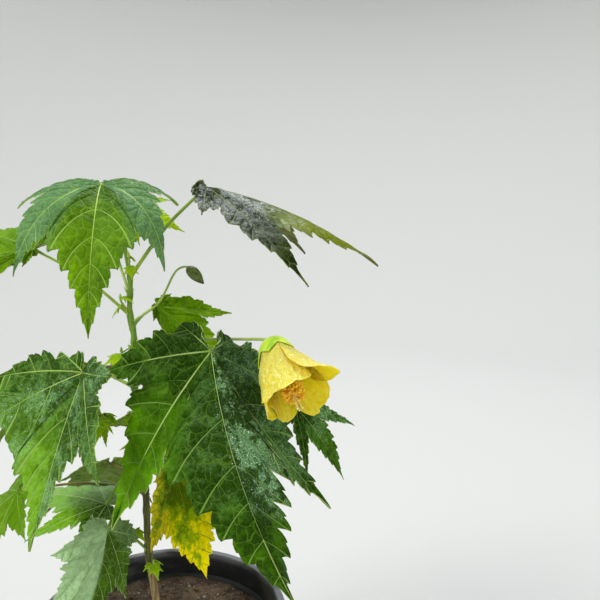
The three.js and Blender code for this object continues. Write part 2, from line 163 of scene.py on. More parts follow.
def leafNet(material):  # the net of small veins, in the blade's own flat plan of centimetres
    plan = add(material, "UVMap", uv_map="plan").outputs[0]
    drift = add(material, "TexNoise", {"Vector": plan, "Scale": 1.2, "Detail": 1.0}).outputs["Color"]
    bent = add(material, "VectorMath", {0: drift, "Scale": 0.35}, operation="SCALE").outputs[0]
    plan = add(material, "VectorMath", {0: plan, 1: bent}, operation="ADD").outputs[0]
    nets = []
    for scale in (leafGrain["cell"], leafGrain["fineCell"]):
        inputs = {"Vector": plan, "Scale": scale, "Randomness": 0.9}
        nets.append(add(material, "TexVoronoi", inputs, feature="DISTANCE_TO_EDGE").outputs[0])
    return nets


def leafSkin(name, tone):
    material, shader = newPaint(name + "Blade")
    coarse, fine = leafNet(material)
    where = place(material)
    # glow is each lobe's own tone together with painted sunlight
    glow = add(material, "Attribute", attribute_name="glow").outputs["Fac"]
    gloss = add(material, "Attribute", attribute_name="gloss").outputs["Fac"]
    broad = grain(material, where, leafGrain["broad"], 3.0)
    spots = grain(material, where, leafGrain["spots"], 4.0, 0.65)
    specks = grain(material, where, leafGrain["specks"], 2.0, 0.7)
    patchy, mist, shining = tone.get("patchy", 1), tone.get("mist"), tone.get("points", 0.85)
    lift = reckon(material, "ADD", glow, ramped(material, broad, 0.3, 0.7, -0.2 * patchy, 0.2 * patchy))
    lift = reckon(material, "ADD", lift, ramped(material, spots, 0.3, 0.7, -0.14 * patchy, 0.14 * patchy))
    middle = tone.get("middle", [(a + b) / 2 for a, b in zip(tone["near"], tone["bright"])])
    flesh = mixed(material, ramped(material, lift, 0.0, 0.5), colour(*tone["near"]), colour(*middle))
    flesh = mixed(material, ramped(material, lift, 0.5, 1.0), flesh, colour(*tone["bright"]))
    # Painted sheen: where gloss marks the blade wet, its colour is pulled towards the sheen colour and white
    # specks, painted in place of the sky's reflection and glints
    uneven = ramped(material, reckon(material, "ADD", broad, spots), 0.9, 1.1, mist or 0.05, 1.0)
    wetSheenShare = reckon(material, "MULTIPLY", gloss, uneven)
    sheen = reckon(material, "MULTIPLY", wetSheenShare, ramped(material, specks, 0.36, 0.6, mist or 0.2, 0.8))
    flesh = mixed(material, sheen, flesh, colour(*tone.get("bloom", leafSheen["bloom"])))
    points = reckon(material, "MULTIPLY", wetSheenShare, ramped(material, specks, 0.57, 0.66, 0.0, shining))
    flesh = mixed(material, points, flesh, colour(*leafSheen["point"]))
    netLine = ramped(material, coarse, 0.005, 0.045, leafGrain["netShare"], 0.0)
    fineLine = ramped(material, fine, 0.0, 0.14, leafGrain["netShare"] * 0.35, 0.0)
    for line in (netLine, fineLine):
        flesh = mixed(material, line, flesh, colour(*tone["side"]))
    wet = ramped(material, spots, 0.3, 0.7, tone["rough"] - 0.06, tone["rough"] + 0.1)
    wet = reckon(material, "SUBTRACT", wet, reckon(material, "MULTIPLY", wetSheenShare, 0.15))
    fineBump = bump(material, ramped(material, fine, 0.0, 0.3), leafGrain["fineDepth"], 0.8)
    allBump = bump(material, ramped(material, coarse, 0.0, 0.28), leafGrain["cellDepth"], 0.9, fineBump)
    join(material, shader, base=flesh, rough=wet, normal=allBump)
    finish(shader, specular=0.07, tint=leafSheen["shine"])
    return material


def leafBack(name, tone):
    material, shader = newPaint(name + "Underside")
    coarse, fine = leafNet(material)
    light = colour(*tone["back"])
    dim = tuple(value * 0.7 for value in light[:3]) + (1.0,)
    base = mixed(material, ramped(material, grain(material, place(material), 70.0), 0.3, 0.7), dim, light)
    net = ramped(material, coarse, 0.0, 0.08, 0.35, 0.0)
    base = mixed(material, net, base, colour(*tone["vein"]))
    ridges = bump(material, ramped(material, coarse, 0.0, 0.2, 1.0, 0.0), 0.3 * mm, 0.8)
    ridges = bump(material, ramped(material, fine, 0.0, 0.3, 1.0, 0.0), 0.08 * mm, 0.8, ridges)
    join(material, shader, base=base, normal=ridges)
    finish(shader, rough=0.6, sheen=0.15, sheenRough=0.5)
    return material


def veinPaint(name, tint, rough=0.5):  # thin strips, so one plain colour
    material, shader = newPaint(name)
    shader.inputs["Base Color"].default_value = colour(*tint)
    finish(shader, rough=rough, specular=0.35)
    return material


leafPaints = {}  # each tone's finishes: blade, main and side veins above, then the same three below


def paintsOf(toneName):
    if toneName not in leafPaints:
        tone = leafTones[toneName]
        rib = tuple(0.9 * value for value in tone["vein"])
        leafPaints[toneName] = [
            leafSkin(toneName, tone), veinPaint(toneName + "Vein", tone["vein"]),
            veinPaint(toneName + "SideVein", tone["side"]), leafBack(toneName, tone),
            veinPaint(toneName + "Rib", rib, 0.6), veinPaint(toneName + "SideRib", rib, 0.6),
        ]
    return leafPaints[toneName]


def stalkPaint(name, light, dark, rough=0.4):
    material, shader = newPaint(name)
    where = place(material)
    patch = ramped(material, grain(material, where, 90.0, 3.0), 0.3, 0.7)
    down = grain(material, place(material, (900, 900, 900)), 1.0, 2.0)
    join(material, shader, base=mixed(material, patch, colour(*dark), colour(*light)),
         normal=bump(material, down, 0.05 * mm, 0.5))
    finish(shader, rough=rough, sheen=0.25, sheenRough=0.4, coat=0.1, coatRough=0.3)
    return material


# Shapes

def gridIndex(vert, rows, columns):
    return round((vert.co.x + 0.5) * rows), round((vert.co.y + 0.5) * columns)


def addGrid(bm, rows, columns):
    made = bmesh.ops.create_grid(bm, x_segments=rows, y_segments=columns, size=0.5)["verts"]
    faces = {face for vert in made for face in vert.link_faces}
    return made, faces


def closeUp(bm, made, faces, merge=1e-7):
    bmesh.ops.remove_doubles(bm, verts=made, dist=merge)
    bmesh.ops.recalc_face_normals(bm, faces=[face for face in faces if face.is_valid])


def addSheet(bm, rows, columns, carry, paint=0):  # a grid whose points carry(u, v) puts in place
    made, faces = addGrid(bm, rows, columns)
    for face in faces:
        face.material_index = paint
    for vert in made:
        vert.co = carry(vert.co.x + 0.5, vert.co.y + 0.5)
    return made, faces


def smoothCurve(points, count):  # centripetal Catmull-Rom through the points, as the CAD source's curves are
    points = [np.array(point, float) for point in points]
    ends = [2 * points[0] - points[1]], [2 * points[-1] - points[-2]]
    knots = ends[0] + points + ends[1]
    spans = len(points) - 1
    places = []
    for share in np.linspace(0, 1, count + 1):
        span = min(int(share * spans), spans - 1)
        t = share * spans - span
        p0, p1, p2, p3 = knots[span:span + 4]
        d0, d1, d2 = (math.sqrt(np.linalg.norm(b - a)) for a, b in ((p0, p1), (p1, p2), (p2, p3)))
        m1 = ((p1 - p0) / d0 - (p2 - p0) / (d0 + d1) + (p2 - p1) / d1) * d1
        m2 = ((p2 - p1) / d1 - (p3 - p1) / (d1 + d2) + (p3 - p2) / d2) * d1
        square, cube = 3 * (p2 - p1) - 2 * m1 - m2, 2 * (p1 - p2) + m1 + m2
        places.append(p1 + m1 * t + square * t * t + cube * t ** 3)
    return np.array(places)


def ringFrames(centres):  # two directions across a path at each of its points, without twist
    ahead = np.gradient(centres, axis=0)
    ahead /= np.linalg.norm(ahead, axis=1)[:, None]
    across = np.array([0.0, 1.0, 0.0]) if abs(ahead[0][1]) < 0.9 else np.array([1.0, 0.0, 0.0])
    frames = []
    for direction in ahead:
        across = across - direction * across.dot(direction)
        across /= np.linalg.norm(across)
        frames.append((across, np.cross(direction, across)))
    return frames


def addTube(bm, centres, radiusAt, sides, paint=0):  # closed, radiusAt(share, turn, centre) in millimetres
    steps = len(centres) - 1
    frames = ringFrames(centres)
    made, faces = addGrid(bm, steps + 2, sides)
    for face in faces:
        face.material_index = paint
    for vert in made:
        row, column = gridIndex(vert, steps + 2, sides)
        ring = min(max(row - 1, 0), steps)
        turn = 2 * math.pi * (column % sides) / sides
        radius = 0 if row in (0, steps + 2) else radiusAt(ring / steps, turn, centres[ring])
        across, over = frames[ring]
        vert.co = (centres[ring] + radius * (across * math.cos(turn) + over * math.sin(turn))) * mm
    closeUp(bm, made, faces)


def addLump(bm, centre, size, along=None, detail=1, paint=0):  # a small ball, drawn out along one way
    turn = Vector((0, 0, 1)).rotation_difference(Vector(along or (0, 0, 1))).to_matrix().to_4x4()
    matrix = Matrix.Translation(Vector(centre) * mm) @ turn @ Matrix.Diagonal((*(s * mm for s in size), 1))
    made = bmesh.ops.create_icosphere(bm, subdivisions=detail, radius=1, matrix=matrix)["verts"]
    for face in {face for vert in made for face in vert.link_faces}:
        face.material_index = paint
    return made


def addSpindle(bm, start, end, radius, sides=8, steps=10, paint=0):  # a small pointed body, as a closed bud
    centres = smoothCurve([start, (np.array(start) + np.array(end)) / 2, end], steps)
    addTube(bm, centres, lambda share, turn, centre: radius * math.sin(math.pi * share ** 0.7) ** 0.8, sides,
            paint)


def spinRound(bm, outline, steps):  # an outline of radius and height, turned once round the upright axis
    verts = [bm.verts.new((radius, 0, height)) for radius, height in outline]
    edges = [bm.edges.new(pair) for pair in zip(verts, verts[1:])]
    bmesh.ops.spin(bm, geom=verts + edges, cent=(0, 0, 0), axis=(0, 0, 1), angle=2 * math.pi, steps=steps,
                   use_merge=True)
    bmesh.ops.remove_doubles(bm, verts=bm.verts[:], dist=1e-6)
    bmesh.ops.recalc_face_normals(bm, faces=bm.faces[:])


def makePiece(name, bm, paints, nodes=(), thick=None, smooth=True):
    mesh = bpy.data.meshes.new(name)
    bm.to_mesh(mesh)
    bm.free()
    return placePiece(name, mesh, paints, nodes, thick, smooth)


def placePiece(name, mesh, paints, nodes=(), thick=None, smooth=True):
    piece = bpy.data.objects.new(name, mesh)
    bpy.context.scene.collection.objects.link(piece)
    for paint in paints:
        mesh.materials.append(paint)
    if smooth:
        mesh.shade_smooth()
    if thick:
        wall = piece.modifiers.new("thickness", "SOLIDIFY")
        for key, value in thick.items():
            setattr(wall, key, value)
    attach(piece, "root")
    if nodes:
        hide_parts(*nodes)
    return piece


# The stem's line and thickness, as the CAD model has them

soil = {"middle": 132, "edge": 129, "flat": 10, "gap": 0.3}
stem = {"height": 290, "footRadius": 2.8, "radius": 2.2, "tipRadius": 1.3, "evenShare": 0.4,
        "flareWidth": 1.6, "flareHeight": 9, "swellWidth": 0.6, "swellHeight": 3.5}
stemFoot = soil["middle"] + soil["gap"]
stemBends = [
    (0, -2, 0), (28, -4, 0), (66, -8, -1), (112, -9, 0), (148, -13, 1), (170, -12, 0), (198, -15, -1),
    (220, -13, 0), (238, -15.5, 1), (262, -14, -1), (290, -18, -2),
]
stemLine = smoothCurve([(x, y, stemFoot + up) for up, x, y in stemBends], 800)


def stemPoint(height):
    return np.array([np.interp(stemFoot + height, stemLine[:, 2], stemLine[:, axis]) for axis in range(3)])


# The sprays, as the CAD model has them: a leaf's seat is where its stalk meets the blade, and aim, hang,
# roll, curl, folds, spread and basal shape it. Given for its two halves each, dips are its notches between
# lobes, turns its veins, narrow, wide and bite its lobes' taper, width and teeth, and ear its hindmost lobe.
# swirl turns its veins' feet, and pleat is its share of the rise between lobes. tone is its colour, and
# detail how fine its outline is. glow says how bright its lobes are, partly their own tone and partly painted
# sunlight, and gloss how wet they are, which places their drops and a painted sheen of the sky, both from the
# hindmost on one side, by the midrib's two sides, to the hindmost on the other. rimGlow brightens the margin,
# wetAndSheenReach is where along the blade the wet and its painted sheen end, and dew counts its drops.
sprays = {
    "top_spray": {
        "knot": 284,
        "leaves": [
            {"seat": (-19, -40, 454), "blade": 108, "aim": -79, "hang": 15, "roll": -5, "curl": 105,
             "folds": (-18, -6), "dips": (((30, 0.5), (70, 0.3), (120, 0.18)),) * 2, "swirl": 0, "pleat": 0.2,
             "tone": "satin", "detail": "fine", "glow": (0.0, 0.0, 0.1, 0.35, 0.45, 0.1, 0.0, 0.0),
             "gloss": (0.5, 0.5, 0.75, 0.05, 0.0, 0.75, 0.7, 0.6), "dew": 40},
            {"seat": (-24, 27, 447), "blade": 48, "aim": 0, "hang": 24, "roll": 40, "curl": 15,
             "folds": (10, 10), "tone": "young"},
        ],
        "shoot": {"heading": 150, "rise": 62, "length": 26, "count": 4, "size": 26, "seed": 11},
    },
    "upper_right_spray": {
        "knot": 262,
        "leaves": [
            {"seat": (40, -10, 454), "blade": 124, "aim": 0, "hang": 10, "roll": 4, "curl": 30,
             "folds": (18, 25), "spread": (0.9, 0.78), "basal": (0.6, 0.5), "narrow": (1.7, 1.7),
             "tone": "olive", "detail": "fine", "glow": (0.1, 0.1, 0.2, 0.8, 0.8, 0.0, 0.1, 0.3),
             "gloss": (0.9, 0.8, 0.8, 0.9, 1.0, 0.6, 0.9, 0.9), "wetAndSheenReach": (0.3, 0.62)},
        ],
        "shoot": {"heading": -80, "rise": 70, "length": 14, "count": 2, "size": 9, "seed": 3},
    },
    "back_top_spray": {
        "knot": 250,
        "leaves": [{"seat": (-50, 46, 440), "blade": 74, "aim": 110, "hang": 35, "roll": 0, "curl": 30,
                    "folds": (12, 12), "spread": (0.6, 0.6), "basal": (0.6, 0.6), "tone": "lush"}],
    },
    "upper_left_spray": {
        "knot": 236,
        "leaves": [{"seat": (-72, -14, 414), "blade": 88, "aim": 192, "hang": 5, "roll": -42, "curl": 30,
                    "folds": (15, 12), "spread": (0.45, 1), "basal": (0.3, 0.8), "tone": "mid",
                    "gloss": (0.1, 0.1, 0.0, 0.1, 0.0, 0.1, 0.2, 0.2)}],
        "shoot": {"heading": 200, "rise": 60, "length": 12, "count": 2, "size": 12, "seed": 5},
    },
    "right_back_spray": {
        "knot": 228,
        "leaves": [{"seat": (-3, 28, 371), "blade": 80, "aim": 8, "hang": 38, "roll": 50, "curl": 10,
                    "folds": (4, 2), "spread": (0.8, 0.58), "basal": (0.4, 0.3), "tone": "mid",
                    "glow": (0.2, 0.2, 0.3, 0.4, 0.3, 0.2, 0.1, 0.1), "gloss": (0,) * 8}],
    },
    "back_right_spray": {
        "knot": 208,
        "leaves": [{"seat": (46, 60, 326), "blade": 118, "aim": 50, "hang": 58, "roll": -10, "curl": 25,
                    "folds": (15, 10), "tone": "dusk"}],
    },
    "left_middle_spray": {
        "knot": 198,
        "leaves": [{"seat": (-32, -48, 341), "blade": 104, "aim": -114, "hang": 66, "roll": 12, "curl": -6,
                    "folds": (-12, -8), "spread": (1, 0.87), "basal": (0.75, 1.42), "swirl": 12, "pleat": 0.1,
                    "dips": (((33, 0.46),), ((32, 0.66), (77, 0.5), (102, 0.17))), "ear": (1, 0.55),
                    "turns": ((46, 95, 138), (64, 87, 116)), "tone": "dusk", "detail": "fine",
                    "glow": (0.0, 0.0, 0.1, 0.15, 0.55, 0.3, 0.2, 0.0),
                    "gloss": (0.9, 0.9, 0.3, 0.9, 0.2, 0.75, 0.2, 0.1), "dew": 330}],
    },
    "back_left_spray": {
        "knot": 186,
        "leaves": [{"seat": (-84, 52, 320), "blade": 104, "aim": 160, "hang": 55, "roll": 10, "curl": 30,
                    "folds": (12, 12), "basal": (0.5, 0.5), "tone": "lush"}],
        "shoot": {"heading": 120, "rise": 30, "length": 36, "count": 3, "size": 28, "seed": 17},
    },
    "front_spray": {
        "knot": 176,
        "leaves": [
            {"seat": (48, -60, 357), "blade": 150, "aim": -61, "hang": 50, "roll": 35, "curl": 24,
             "folds": (62, 6), "spread": (0.75, 1.1), "basal": (0.75, 1), "wide": (1.2, 1.05),
             "bite": (1.8, 1), "swirl": 9, "tone": "deep", "detail": "fine",
             "glow": (0.1, 0.1, 0.1, 0.05, 0.1, 0.62, 0.25, 0.1),
             "gloss": (0.5, 0.55, 0.4, 1.9, 0.16, 0.0, 0.05, 0.1), "wetAndSheenReach": (0.5, 0.7), "dew": 560},
        ],
    },
    "right_low_spray": {
        "knot": 168,
        "leaves": [{"seat": (96, 4, 304), "blade": 64, "aim": -25, "hang": 46, "roll": 40, "curl": 30,
                    "folds": (5, 20), "spread": (0.83, 0.55), "basal": (0.4, 0.5),
                    "dips": (((26, 0.32), (70, 0.2)),) * 2, "tone": "deep",
                    "gloss": (0.9, 0.9, 1.0, 0.5, 0.2, 0.1, 0.3, 0.3)}],
    },
    "small_leaf_spray": {
        "knot": 157,
        "shoot": {"heading": 215, "rise": 20, "length": 26, "count": 4, "size": 30, "seed": 4},
    },
    "yellow_leaf_spray": {
        "knot": 147,
        "leaves": [{"seat": (16, -18, 266), "blade": 72, "aim": -65, "hang": 45, "roll": 42, "curl": 18,
                    "folds": (8, 14), "basal": (1, 0.6), "dips": (((30, 0.5),),) * 2, "wide": (1.4, 1.4),
                    "tone": "yellowing", "detail": "fine",
                    "glow": (0.35, 0.35, 0.4, 0.3, 0.3, 0.55, 0.5, 0.35), "rimGlow": 0.7, "dew": 30}],
    },
    "low_left_spray": {
        "knot": 137,
        "leaves": [
            {"seat": (-26, -33, 249), "blade": 66, "aim": 165, "hang": -10, "roll": -5, "curl": 27,
             "folds": (14, 5), "tone": "frosty", "glow": (0.8, 0.9, 1.2, 0.9, 0.9, 0.7, 0.5, 0.5),
             "gloss": (0.1, 0.0, 0.0, 0.3, 0.6, 0.9, 1.0, 0.9)},
            {"seat": (-21, -50, 240), "blade": 68, "aim": -97, "hang": 59, "roll": -52, "curl": 28,
             "folds": (16, 6), "spread": (0.85, 1), "dips": (((30, 0.5),), ((18, 0.7), (48, 0.42))),
             "wide": (1.2, 0.9), "turns": ((46, 95, 138), (27, 62, 104)), "tone": "frosty",
             "glow": (0.0, 0.0, 0.1, 0.1, 0.3, 0.4, 0.4, 0.3),
             "gloss": (0.6, 0.3, 0.0, 0.0, 1.3, 1.2, 0.9, 0.9)},
        ],
    },
    "back_middle_spray": {
        "knot": 128,
        "leaves": [{"seat": (2, 60, 282), "blade": 106, "aim": 88, "hang": 52, "roll": 0, "curl": 25,
                    "folds": (12, 12), "tone": "deep"}],
        "shoot": {"heading": 95, "rise": 30, "length": 28, "count": 3, "size": 24, "seed": 21},
    },
    "back_low_left_spray": {
        "knot": 112,
        "leaves": [
            {"seat": (-92, -16, 250), "blade": 74, "aim": 178, "hang": 38, "roll": -25, "curl": 30,
             "folds": (10, 10), "tone": "mid"},
            {"seat": (-46, 42, 246), "blade": 80, "aim": 130, "hang": 45, "roll": 10, "curl": 25,
             "folds": (10, 12), "tone": "dusk"},
        ],
    },
    "back_low_right_spray": {
        "knot": 96,
        "leaves": [{"seat": (44, 36, 228), "blade": 76, "aim": 30, "hang": 40, "roll": -10, "curl": 30,
                    "folds": (12, 10), "tone": "frosty"}],
    },
    "low_bud_spray": {
        "knot": 66,
        "shoot": {"heading": 195, "rise": 50, "length": 26, "count": 3, "size": 16, "seed": 2},
    },
    "foot_shoot": {
        "knot": 54,
        "shoot": {"heading": -60, "rise": 30, "length": 8, "count": 3, "size": 11, "seed": 9},
    },
}
# The plain eight values of glow, own tone with painted sunlight, and of gloss, where the blade is wet and a
# painted sheen lies
plainGlow = (0.1, 0.1, 0.2, 0.35, 0.35, 0.2, 0.1, 0.1)
plainWetAndSheen = (0.15, 0.1, 0.1, 0.0, 0.0, 0.1, 0.1, 0.15)

# One blade, flat, in shares of its length: each main vein's turn from the midrib and its reach, its lobe's
# half widths, where the margin dips in next to it, and the shares from dip to tip that its teeth stand at.
lobes = [
    {"turn": 0, "reach": 1.0, "halves": (0.18, 0.18), "dipTurn": 33, "dip": 0.42,
     "teeth": (((0.13, 0.9), (0.33, 1), (0.5, 1), (0.67, 1), (0.83, 0.8)),) * 2},
    {"turn": 46, "reach": 0.78, "halves": (0.09, 0.11), "dipTurn": 73, "dip": 0.3,
     "teeth": (((0.22, 0.8), (0.45, 1), (0.68, 1)), ((0.16, 1.5), (0.36, 1.1), (0.56, 1), (0.76, 1)))},
    {"turn": 95, "reach": 0.52, "halves": (0.085, 0.1), "dipTurn": 120, "dip": 0.19,
     "teeth": (((0.34, 1), (0.66, 1)), ((0.22, 1.2), (0.45, 1.1), (0.7, 1)))},
    {"turn": 138, "reach": 0.2, "halves": (0.06, 0.06), "dipTurn": 158, "dip": 0.06, "bulge": 0.05,
     "teeth": (((0.5, 1),), ((0.35, 0.7), (0.68, 0.9)))},
]
basalTurns = (60, 90)  # over these turns from the midrib a leaf's own basal share takes hold
bladeForm = {
    "narrow": 1.15,                  # how the lobe thins towards its tip
    "tooth": 0.34, "lean": 0.35,     # a tooth's height beside the lobe's half width, and its forward lean
    "lag": 0.9,                      # how far back on the main vein a side vein starts, beside its reach
    "veinHalf": 0.0038, "sideHalf": 0.0009,  # half widths of the main and side veins where they start
    "quilt": 0.011, "pleat": 0.035, "groove": 0.0022, "wave": 0.012,  # relief, in shares of the blade
    "ladder": 3.0,                   # cross ribs in each cell between two side veins
}
# A tooth's outline from one side vein's end to the next: way along, and share of its height.
toothOutline = {
    "fine": ((0.13, 0.0), (0.24, 0.42), (0.38, 0.68), (0.5, 0.82), (0.56, 0.62), (0.7, 0.84), (0.86, 1.0)),
    "middling": ((0.14, 0.0), (0.3, 0.5), (0.5, 0.8), (0.57, 0.6), (0.8, 0.94)),
    "plain": ((0.2, 0.0), (0.6, 0.55)),
}
columnCounts = {"fine": 13, "middling": 9, "plain": 5}
plainOwn = {"narrow": bladeForm["narrow"], "wide": 1, "bite": 1, "ear": 1}


def lobeSide(level, index, laneTurn, dipTurn, dip, own):
    # One side of one lobe: its rows follow the side veins, from the main vein to the dip between two lobes
    # or on to the margin. point(row, v) gives a row's point at share v of its way, flat, with its relief.
    lobe, form = lobes[index], bladeForm
    lean = math.radians(abs(dipTurn - laneTurn))
    dipAlong, dipAside = dip * math.cos(lean), dip * math.sin(lean)
    outward = dipTurn > laneTurn
    half, teeth = lobe["halves"][int(outward)] * own["wide"], lobe["teeth"][int(outward)]
    bulge = lobe.get("bulge", 0) * own["ear"]
    reach = max(lobe["reach"] * (own["ear"] if bulge else 1), dipAlong + 0.01)
    spineLean = math.radians(lobes[0]["dipTurn"])
    spine = (lobes[0]["dip"] * math.cos(spineLean), lobes[0]["dip"] * math.sin(spineLean),
             lobes[0]["halves"][0], bladeForm["narrow"]) if index == 0 else (
                 dipAlong, dipAside, half, own["narrow"])

    def width(s, dipAside=dipAside, half=half, narrow=own["narrow"]):
        left = max(1 - s, 0.0)
        if bulge:
            return dipAside * math.sqrt(left) + outward * bulge * math.sqrt(s * left)
        return half * left ** narrow * (1 + (2 * narrow - 2) * s) + (dipAside - half) * left ** 6

    def footOf(cell, r):  # where a row starts on the main vein, alike for the blade's two halves
        share, (along, aside, half, narrow) = lerp(cell["low"], cell["high"], r), spine
        if cell["inner"]:
            along, aside = share * along, share * aside
        else:
            along, aside = lerp(along, reach, share), width(share, aside, half, narrow)
        return max(along - form["lag"] * aside, 0.0)

    outline = toothOutline[level]
    stops = [(0.0, 0), *teeth, (1.0, 0)]
    cells = [{"inner": True, "low": 0.0, "high": 0.5}, {"inner": True, "low": 0.5, "high": 1.0}]
    cells += [{"inner": False, "low": low, "high": high, "opens": first, "ends": second}
              for (low, first), (high, second) in zip(stops, stops[1:])]
    rows = [{"cell": cells[0], "r": 0.0, "side": 0, "number": 0}]
    for number, cell in enumerate(cells):
        span = (cell["high"] - cell["low"]) * (spine[0] if cell["inner"] else reach - spine[0])
        cell["slim"] = min(form["sideHalf"] / span, 0.2)
        steps = [(cell["slim"], 1)] + [(r, 0) for r, _ in outline] + [(1 - cell["slim"], -1), (1.0, 0)]
        rows += [{"cell": cell, "r": r, "side": side, "number": number} for r, side in steps]

    def outer(cell, r):
        share = lerp(cell["low"], cell["high"], r)
        if cell["inner"]:
            return share * dipAlong, share * dipAside, 0.0, share
        ways = [0.0, *(way for way, _ in outline), 1.0]
        heights = [cell["opens"], *(height * cell["ends"] for _, height in outline), cell["ends"]]
        tall = form["tooth"] * own["bite"] * width(lerp(cell["low"], cell["high"], 0.6))
        return lerp(dipAlong, reach, share), width(share), tall * float(np.interp(r, ways, heights)), share

    def point(row, v):
        cell, r = row["cell"], row["r"]
        if row["side"]:
            slim = cell["slim"] * (1 - 0.75 * v)
            r = slim if row["side"] > 0 else 1 - slim
        along, aside, tall, share = outer(cell, r)
        start = footOf(cell, r)
        ahead, out = along + form["lean"] * tall, aside + tall
        length = math.hypot(ahead - start, out) + 1e-9
        veinHalf = form["veinHalf"] * max(1 - start / reach, 0.0) ** 0.8 + 0.0006
        v = v if v in (0, 1) else lerp(min(veinHalf / length, 0.45), 1, v)
        x = (1 - v) ** 2 * start + 2 * v * (1 - v) * lerp(start, ahead, 0.3) + v * v * ahead
        y = 2 * v * (1 - v) * out * 0.52 + v * v * out
        turn, hand = math.radians(laneTurn), 1 if outward else -1
        across = x * math.sin(turn) + hand * y * math.cos(turn)
        forward = x * math.cos(turn) - hand * y * math.sin(turn)
        return max(across, 0.0), forward, relief(row, r, v, share, start / reach)

    def relief(row, r, v, share, way):  # shares of quilting, pleat, edge and vein thickness
        arch = max(4 * r * (1 - r), 0.0) ** 0.6
        bars = 1 + 0.22 * (1 - v) * math.cos(2 * math.pi * form["ladder"] * v + 2 * row["number"])
        quilt = arch * float(smoothstep(v, 0.0, 0.35)) * bars
        if row["cell"]["inner"]:
            quilt *= min(1.0, 3 * share)
            pleat, edge = share ** 2 * v * v, v * v * share ** 3
        else:
            quilt *= (1 - 0.7 * float(smoothstep(v, 0.6, 1))) * (1 - 0.6 * share)
            pleat, edge = (1 - share) ** 2 * v * v, v * v
        mainVein = max(1 - way, 0.0) ** 0.7 if v == 0 else 0.0
        sideVein = 0.45 * (1 - v) if r in (0.0, 1.0) else 0.0
        return quilt, pleat, edge, max(mainVein, sideVein)

    return rows, point


def flatBlade(level, *owns):
    # A flat blade as one mesh in the XY plane, in shares of its length. Its layers hold what each vertex
    # needs later: its half of the blade, and its shares of the quilting, pleats, edge, groove and veins.
    bm = bmesh.new()
    names = ("half", "quilt", "pleat", "edge", "groove", "vein")
    layers = [bm.verts.layers.float.new(name) for name in names]
    columns = columnCounts[level]
    shares = [0.0, 1e-6, *(0.97 * k / (columns - 2) for k in range(1, columns - 1)), 1.0]
    owns = [{**plainOwn, **dict(own)} for own in owns]
    plainDips = [(lobe["dipTurn"], lobe["dip"]) for lobe in lobes]
    dips = [[*own.get("dips", ()), *plainDips[len(own.get("dips", ())):]] for own in owns]
    lanes = [[0, *own.get("turns", (lobe["turn"] for lobe in lobes[1:]))] for own in owns]
    sides = [(half, index, lanes[half][index], *dips[half][index - inner]) for half in (0, 1)
             for index in range(len(lobes)) for inner in ((0, 1) if index else (0,))]
    for half, index, laneTurn, dipTurn, dip in sides:
        rows, point = lobeSide(level, index, laneTurn, dipTurn, dip, owns[half])
        made, faces = addGrid(bm, len(rows) - 1, columns)
        for face in faces:
            middle = face.calc_center_median()
            row = int((middle.x + 0.5) * (len(rows) - 1))
            column = int((middle.y + 0.5) * columns)
            onSideVein = rows[row + 1]["side"] > 0 or rows[row]["side"] < 0
            face.material_index = 1 if column == 0 else 2 if onSideVein and column < 0.85 * columns else 0
        for vert in made:
            row, column = gridIndex(vert, len(rows) - 1, columns)
            across, ahead, facts = point(rows[row], shares[column])
            vert.co = ((1 if half else -1) * across, ahead, 0)
            values = (half, *facts[:3], 1.0 if column == 1 else 0.0, facts[3])
            for layer, value in zip(layers, values):
                vert[layer] = value
    bmesh.ops.remove_doubles(bm, verts=bm.verts[:], dist=2e-5)
    for face in bm.faces:
        if face.normal.z < 0:
            face.normal_flip()
    mesh = bpy.data.meshes.new("flatBlade")
    bm.to_mesh(mesh)
    bm.free()
    return mesh


def readPoints(mesh):
    flat = np.zeros(len(mesh.vertices) * 3, np.float32)
    mesh.vertices.foreach_get("co", flat)
    return flat.reshape(-1, 3).astype(float)


def readLayer(mesh, name):
    values = np.zeros(len(mesh.vertices), np.float32)
    mesh.attributes[name].data.foreach_get("value", values)
    return values.astype(float)


def bladeFrame(leaf):
    aim, hang, roll = (math.radians(leaf[key]) for key in ("aim", "hang", "roll"))
    along = np.array([math.cos(aim) * math.cos(hang), math.sin(aim) * math.cos(hang), -math.sin(hang)])
    level = np.array([math.cos(aim) * math.sin(hang), math.sin(aim) * math.sin(hang), math.cos(hang)])
    up = level * math.cos(roll) + np.cross(along, level) * math.sin(roll)
    return along, up, np.cross(along, up)


def hangPoints(leaf, half, across, ahead):
    # Where points of the flat blade lie once the leaf hangs in place, by the CAD source's rule.
    sides = half.astype(int)
    flatTurn = np.arctan2(np.abs(across), ahead)
    behind = smoothstep(flatTurn, *(math.radians(turn) for turn in basalTurns))
    basal = np.array(leaf.get("basal", (1, 1)), float)[sides]
    reach = np.hypot(across, ahead) * lerp(1, basal, behind)
    spread = np.array(leaf.get("spread", (1, 1)), float)[sides]
    turn = flatTurn * (1 + (spread - 1) * (1 - (flatTurn / math.pi) ** 2))
    bend = math.radians(leaf["curl"]) or 1e-3
    out = np.sin(bend * reach) / bend
    fold = np.radians(np.array(leaf["folds"], float))[sides]
    sideways = out * np.sin(turn)
    drop = (1 - np.cos(bend * reach)) / bend + sideways * np.sin(fold)
    along, up, right = bladeFrame(leaf)
    swirl = math.radians(leaf["swirl"]) * (1 - reach)
    straight, beside = out * np.cos(turn), sideways * np.cos(fold) * np.where(sides, 1, -1)
    forward = straight * np.cos(swirl) - beside * np.sin(swirl)
    aside = beside * np.cos(swirl) + straight * np.sin(swirl)
    return np.array(leaf["seat"], float) + leaf["blade"] * (
        aside[:, None] * right + forward[:, None] * along - drop[:, None] * up)


